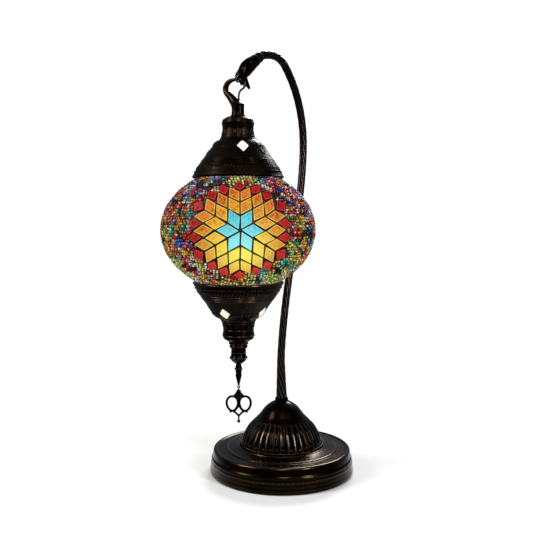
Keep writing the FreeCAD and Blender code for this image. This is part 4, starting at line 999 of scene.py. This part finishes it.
# %% Find a place for every bead
SPACING, CLEAR = 3.2, 1.5
fine = np.linspace(-1.03, 1.03, 4000)
row_wide, row_tall = (GLOBE_RADIUS + 1.6) * np.cos(fine), (GLOBE_HALF + 1.6) * np.sin(fine)
travel = np.r_[0, np.cumsum(np.hypot(np.diff(row_wide), np.diff(row_tall)))]
rows = np.interp(np.arange(0, travel[-1], SPACING * 0.88), travel, fine)
rows = rows[np.abs((GLOBE_HALF + 1.6) * np.sin(rows)) < BAND_HALF + 0.8]
laid = []
for number, up in enumerate(rows):
    around = int(2 * math.pi * (GLOBE_RADIUS + 1.6) * math.cos(up) / SPACING)
    turn = (np.arange(around) + 0.5 * (number % 2)) * 2 * math.pi / around
    laid.append(np.stack([np.full(around, up), turn], -1))
laid = np.concatenate(laid)
laid = laid + rng.normal(0, 0.30, laid.shape) / np.array([66.0, 70.0])
bead_way = np.stack([np.cos(laid[:, 0]) * np.cos(laid[:, 1]) * (GLOBE_RADIUS + 1.6),
                     np.cos(laid[:, 0]) * np.sin(laid[:, 1]) * (GLOBE_RADIUS + 1.6),
                     np.sin(laid[:, 0]) * (GLOBE_HALF + 1.6)], -1)


def star_position(points, star):
    """Undo the laying: flat star positions of points on the globe."""
    out, side, high = star
    way = unit(points)
    bend = np.arccos(np.clip(way @ out, -1, 1))
    across, up = way @ side, way @ high
    share = bend * GLOBE_RADIUS / np.maximum(np.hypot(across, up), 1e-9)
    return np.stack([across * share, up * share], -1)


all_cells = np.concatenate([rings["turquoise"], rings["amber"], rings["orange"], rings["red"]])
edge_way = np.roll(all_cells, -1, 1) - all_cells
edge_out = np.stack([edge_way[..., 1], -edge_way[..., 0]], -1)
edge_out = unit(edge_out)
free = np.ones(len(bead_way), bool)
nearest = np.full(len(bead_way), 1e9)
clock = np.zeros(len(bead_way))
for star in stars:
    flat = star_position(bead_way, star)
    apart = np.einsum("nmek,mek->nme", flat[:, None, None] - all_cells[None], edge_out).max(2).min(1)
    free &= apart > CLEAR - 0.35
    distance = np.hypot(flat[:, 0], flat[:, 1])
    closer = distance < nearest
    clock = np.where(closer, np.arctan2(flat[:, 1], flat[:, 0]), clock)
    nearest = np.where(closer, distance, nearest)
bead_way, clock, nearest = bead_way[free], clock[free], nearest[free]
print(len(bead_way), "beads")

# %% Choose their colours
SHADES = {
    "red": (0.80, 0.02, 0.02), "pink": (0.95, 0.30, 0.42), "cream": (1.0, 0.86, 0.55),
    "teal": (0.02, 0.50, 0.50), "blue": (0.04, 0.15, 0.75), "sky": (0.25, 0.60, 0.95),
    "purple": (0.30, 0.05, 0.48), "orange": (0.98, 0.34, 0.03), "green": (0.04, 0.42, 0.08),
    "yellow": (1.0, 0.78, 0.10), "lime": (0.48, 0.80, 0.10), "navy": (0.02, 0.03, 0.22),
    "dark": (0.03, 0.012, 0.01),
}
HANDFULS = [handful.split() for handful in (
    "orange yellow pink green dark red", "purple red orange navy dark cream",
    "red cream orange teal dark yellow", "red purple orange sky dark cream",
    "teal orange blue cream dark red", "orange cream red yellow dark pink",
    "cream yellow orange dark red lime", "yellow orange lime cream dark teal")]
names = list(SHADES)
handful_table = np.array([[names.index(shade) for shade in handful] for handful in HANDFULS])
drift_seeds = bead_way[rng.choice(len(bead_way), 620, replace=False)]
drift_pick = rng.integers(0, 6, len(drift_seeds))
gaps = (bead_way ** 2).sum(1)[:, None] + (drift_seeds ** 2).sum(1)[None] - 2 * bead_way @ drift_seeds.T
drift = drift_pick[gaps.argmin(1)]
lone = rng.random(len(bead_way)) < 0.24
drift = np.where(lone, rng.integers(0, 6, len(bead_way)), drift)
handful = (np.round((clock + rng.normal(0, 0.16, len(clock))) / (math.pi / 4)).astype(int)) % 8
shade = np.array(list(SHADES.values()))[handful_table[handful, drift]]
# The bulb's light is painted into the bead colours: they are brightened by height, most towards the bottom of
# the band.
near_bulb = np.interp(bead_way[:, 2], (-54, -30, 10, 54), (2.6, 2.2, 1.5, 1.4))[:, None]
shade = np.clip(shade * near_bulb * rng.uniform(0.2, 1.35, (len(shade), 1)), 0, 1)

# %% Set the beads
bead_out = bead_way / np.array([(GLOBE_RADIUS + 1.6) ** 2] * 2 + [(GLOBE_HALF + 1.6) ** 2])
bead_out = unit(bead_out)
lean = bead_out + rng.normal(0, 0.42, bead_out.shape)
lean = unit(lean)
bead_side = np.cross(lean, rng.normal(size=lean.shape))
bead_side = unit(bead_side)
bead_frames = np.stack([bead_side, np.cross(lean, bead_side), lean], 1)
ring_turn = circle(8)[:, None]
wire_turn = circle(4)[None, :] + math.pi / 4
bead_reach = 0.78 + 0.46 * np.cos(wire_turn)
one_bead = round_axis(bead_reach, ring_turn, 0.72 * np.sin(wire_turn))
bead_cells = grid_faces(8, 4, loop_rows=True)
bead_core = np.broadcast_to(np.clip((1.2 - bead_reach) / 0.7, 0, 1), (8, 4)).ravel()
bead_size = rng.uniform(1.02, 1.32, len(bead_way))
bead_middle = bead_way + AXIS + np.array([0, 0, GLOBE_MIDDLE])


def bead_glass():
    """Glass beads with the bulb's light painted in as a glow: each has its own colour, a painted bright heart
    and a painted dark skin.
    """
    material = bpy.data.materials.new("seed bead glass")
    material.use_nodes = True
    tree = material.node_tree
    shader = tree.nodes["Principled BSDF"]
    tint = add_node(tree, "ShaderNodeAttribute", attribute_name="tint").outputs["Color"]
    core = add_node(tree, "ShaderNodeAttribute", attribute_name="core").outputs["Fac"]
    spot = add_node(tree, "ShaderNodeTexCoord").outputs["Object"]
    cloudy = add_node(tree, "ShaderNodeTexNoise", {"Vector": spot}, Scale=700.0, Detail=2.0)
    power = ramp(tree, cloudy.outputs["Fac"], [(0.35, 0.35), (0.65, 1.0)])
    dimmed = mix_colours(tree, 1.0, tint, power, "MULTIPLY")
    heart = mix_colours(tree, core, (0.06, 0.06, 0.06), (1.0, 1.0, 0.95))
    tree.links.new(mix_colours(tree, 1.0, dimmed, heart, "MULTIPLY"), shader.inputs["Emission Color"])
    tree.links.new(mix_colours(tree, 1.0, tint, (0.12, 0.12, 0.12), "MULTIPLY"), shader.inputs["Base Color"])
    shader.inputs["Specular IOR Level"].default_value = 0.3
    shader.inputs["Emission Strength"].default_value = 1.0
    shader.inputs["Roughness"].default_value = 0.16
    return material


beads_material = bead_glass()
half = len(bead_way) // 2
for label, chosen in (("lower_beads", slice(0, half)), ("upper_beads", slice(half, None))):
    cloud, faces = strewn(one_bead, bead_cells, bead_middle[chosen], bead_frames[chosen], bead_size[chosen])
    number = len(bead_middle[chosen])
    beads = make_piece(label, cloud, faces, beads_material, "lantern",
                       {"tint": np.repeat(shade[chosen], len(bead_core), 0), "core": np.tile(bead_core, number)},
                       crease=180, weld=False)
    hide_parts("seed_beads")

# %% [markdown]
# ## The pendant
# Under the finial hangs a flat casting of bent wire forms: a solid trefoil, two oval loops side by side,
# little spurs, and a lozenge whose lower strands join in a stem with a ball.

# %% Cast the pendant
PENDANT_TURN = math.radians(38.0)
pendant_box = np.array([list(corner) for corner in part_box("pendant")]) / MM
EYE_DROP = pendant_box[1, 2] - 2.55
across_way = np.array([math.cos(PENDANT_TURN), math.sin(PENDANT_TURN), 0.0])
face_way = np.array([-math.sin(PENDANT_TURN), math.cos(PENDANT_TURN), 0.0])


def on_pendant(flat):
    """Points of the pendant's plane from (across, drop below the eye)."""
    flat = np.asarray(flat, float)
    return AXIS + flat[:, :1] * across_way + np.array([0, 0, 1.0]) * (EYE_DROP - flat[:, 1:2])


def pendant_bar(stations, thick, closed=False, count=60):
    """A bar of oval section along a smooth line of the pendant's plane."""
    line = on_pendant(smooth_line(stations, count, closed))
    return skin_of(sweep_points(line, face_way, thick * 0.85, thick, 12, closed), closed)


oval = circle(12)
parts = [pendant_bar(np.stack([1.8 * np.cos(oval), 1.8 * np.sin(oval)], -1), 0.75, True)]
for side in (-1, 1):
    loop = np.stack([side * (6.9 + 6.1 * np.cos(oval) * (1 + 0.12 * np.sin(-oval))),
                     13.2 + 8.0 * np.sin(oval)], -1)
    parts.append(pendant_bar(loop, 1.3, True, 90))
    parts.append(pendant_bar([(side * 0.9, 16.5), (side * 2.6, 19.2), (side * 4.9, 21.6)], 1.1, count=24))
    parts.append(pendant_bar([(side * 8.6, 20.6), (side * 5.4, 22.0), (side * 2.4, 24.0), (0, 26.8)],
                             1.15, count=30))
    parts.append(pendant_bar([(side * 7.6, 20.9), (side * 9.4, 22.9)], 1.15, count=8))
    ear = ball_points(2.2, 9, 14)
    parts.append(skin_of(ear + on_pendant([(side * 3.2, 4.2)])[0]))
shield = ball_points(1.0, 11, 18)
shield = (shield[..., :1] * across_way * 3.6 + shield[..., 1:2] * face_way * 1.4
          + shield[..., 2:] * np.array([0, 0, 4.4]) + on_pendant([(0, 3.0)])[0])
parts.append(skin_of(shield))
parts.append(skin_of(ball_points(0.6, 7, 10) + on_pendant([(0, 4.0)])[0] - face_way * 1.15))
parts.append(pendant_bar([(0, 5.0), (0, 9.0), (0, 13.0), (0, 17.4)], 1.05, count=20))
parts.append(pendant_bar([(0, 26.0), (0, 28.0), (0, 30.0), (0, 32.0)], 0.85, count=16))
parts.append(skin_of(ball_points(1.8, 11, 16) + on_pendant([(0, 32.6)])[0]))
pendant_cloud, pendant_faces = joined(parts)
pendant = make_piece("cast_pendant", pendant_cloud, pendant_faces, bronze, "pendant",
                     {"wear_and_highlight": np.full(len(pendant_cloud), 0.05)}, crease=50)
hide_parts("pendant")

# %% [markdown]
# ## Turned rings of the finial
# The finial is turned, and the turner cut fine beads at its shoulders. They catch the light as thin lines.

# %% Turn the rings
def plain_ring(radius, height, half, rise):
    """A closed ring of oval section on the lantern's axis."""
    turn = circle(96)[None, :]
    angle = circle(10)[:, None]
    reach = radius + rise * np.cos(angle)
    return skin_of(round_axis(reach, turn, height + half * np.sin(angle)) + AXIS, True)


cup_low, knob_low = (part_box(node)[0][2] / MM for node in ("finial_cup", "finial_knob"))
ring_cloud, ring_faces = joined([plain_ring(radius, height, 0.45, 0.45) for radius, height in (
    (9.5, cup_low + 1.6), (10.1, cup_low + 4.4), (8.0, cup_low - 5.2),
    (9.5, knob_low + 6.1), (4.2, knob_low - 5.9))])
rings_piece = make_piece("finial_rings", ring_cloud, ring_faces, bronze, "lantern",
                         {"wear_and_highlight": np.full(len(ring_cloud), 0.3)}, crease=60)

# %% [markdown]
# ## Glass and bulb
# The globe is clear and only shows from below, through its mouth. The bulb inside is lit, and its light on the
# white porcelain holder above it is painted in as a glow, which is what shines through the upper windows.

# %% Material of the globe and the bulb
clear_glass = grained("clear glass", (0.85, 0.88, 0.84), (0.96, 0.97, 0.94), 30, (0.03, 0.10), bump=0.05)
clear_glass.node_tree.nodes["Principled BSDF"].inputs["Transmission Weight"].default_value = 0.9
lit_bulb = grained("lit bulb glass", (1.0, 0.85, 0.6), (1.0, 0.95, 0.85), 60, (0.25, 0.35), bump=0.02)
BULB_POWER, PORCELAIN_POWER = 6.0, 1.1
for material, power in ((lit_bulb, BULB_POWER), (plain["porcelain"], PORCELAIN_POWER)):
    tree = material.node_tree
    shader = tree.nodes["Principled BSDF"]
    tree.links.new(shader.inputs["Base Color"].links[0].from_socket, shader.inputs["Emission Color"])
    shader.inputs["Emission Strength"].default_value = power
print("glass ready")

# %% Finish the parts of the design file that still show
dressed = dict(plain, antique_bronze=bronze, clear_glass=clear_glass, bulb_glass=lit_bulb, dark_grout=putty,
               bead_glass=beads_material, turquoise_glass=glasses["turquoise"], amber_glass=glasses["amber"],
               orange_glass=glasses["orange"], red_glass=glasses["red"])
for row in frame["record"]["subparts"]:
    node = frame["nodes"][row["node"]]
    node.data.materials.clear()
    node.data.materials.append(dressed[row["material_slot"]])
for node_name, material in (("top_cap", upper_metal), ("bottom_cap", lower_metal)):
    frame["nodes"][node_name].data.materials[0] = material
print(len(frame["nodes"]), "nodes have a finish")

# %% [markdown]
# ## The room
# A pale floor fades into a white room, and a soft window stands on each of four sides. Dark metal is
# drawn by what it reflects, so the windows are what shapes the bronze.

# %% Set the floor
floor_turn = circle(96)[None, :]
floor_reach = np.concatenate([[0.0], np.geomspace(60, 6000, 24)])[:, None]
floor_points = round_axis(floor_reach, floor_turn, -0.05)
floor_material = grained("pale floor", (0.86, 0.86, 0.86), (0.90, 0.90, 0.90), 3, (0.55, 0.7), bump=0.0)
floor_tree = floor_material.node_tree
floor_spot = add_node(floor_tree, "ShaderNodeTexCoord").outputs["Object"]
far = add_node(floor_tree, "ShaderNodeVectorMath", {0: floor_spot}, operation="LENGTH")
veil = remap(floor_tree, far.outputs["Value"], 0.085, 0.26, 1.0, 0.0, interpolation_type="SMOOTHSTEP")
floor_tree.links.new(veil, floor_tree.nodes["Principled BSDF"].inputs["Alpha"])
floor = grid_piece("floor", floor_points, floor_material, None)
if floor.data.polygons[0].normal.z < 0:
    floor.data.flip_normals()

# %% Light the room
world = bpy.data.worlds.new("white room")
bpy.context.scene.world = world
world.use_nodes = True
sky = world.node_tree
sky.nodes["Background"].inputs["Color"].default_value = (0.80, 0.86, 0.95, 1.0)
sky.nodes["Background"].inputs["Strength"].default_value = 0.16
bright = add_node(sky, "ShaderNodeBackground", Strength=1.05)
bright.inputs["Color"].default_value = (1.0, 1.0, 1.0, 1.0)
seen = add_node(sky, "ShaderNodeLightPath")
either = add_node(sky, "ShaderNodeMixShader", {0: seen.outputs["Is Camera Ray"],
                                               1: sky.nodes["Background"].outputs[0],
                                               2: bright.outputs[0]})
sky.links.new(either.outputs[0], sky.nodes["World Output"].inputs["Surface"])


def window(name, spot, aim, wide, tall, power, tint):
    """A soft rectangular light that faces a point."""
    lamp = bpy.data.lights.new(name, "AREA")
    lamp.shape, lamp.size, lamp.size_y = "RECTANGLE", wide, tall
    lamp.energy, lamp.color = power, tint
    holder = bpy.data.objects.new(name, lamp)
    bpy.context.scene.collection.objects.link(holder)
    holder.location = spot
    ahead = np.array(aim) - np.array(spot)
    flat = math.hypot(ahead[0], ahead[1])
    holder.rotation_euler = (math.atan2(flat, -ahead[2]), 0, math.atan2(-ahead[0], ahead[1]))
    return holder


window("left window", (-0.75, -1.25, 1.15), (0, 0, 0.2), 0.5, 0.9, 20, (1.0, 0.97, 0.92))
window("right window", (1.5, -0.2, 0.9), (0, 0, 0.15), 0.25, 0.9, 16, (0.94, 0.97, 1.0))
window("back window", (-0.6, 1.4, 1.3), (0, 0, 0.3), 0.9, 0.5, 22, (1.0, 0.98, 0.95))
window("front window", (0.95, -1.0, 1.5), (0, 0, 0.05), 0.35, 0.35, 10, (1.0, 1.0, 1.0))
print(len(bpy.data.lights), "lights")

# %% Place the camera
lens = bpy.data.cameras.new("view")
VIEW_SPOT, VIEW_TILT, VIEW_TURN = (0.5295, -0.6709, 0.2967), 86.08, 39.46
lens.lens, lens.sensor_width = 50.47, 36.0
view = bpy.data.objects.new("view", lens)
bpy.context.scene.collection.objects.link(view)
view.location = VIEW_SPOT
view.rotation_euler = (math.radians(VIEW_TILT), 0.0, math.radians(VIEW_TURN))
bpy.context.scene.camera = view
bpy.context.scene.view_settings.view_transform = "Standard"
print("camera", round(view.location.length, 3), "m from the origin")
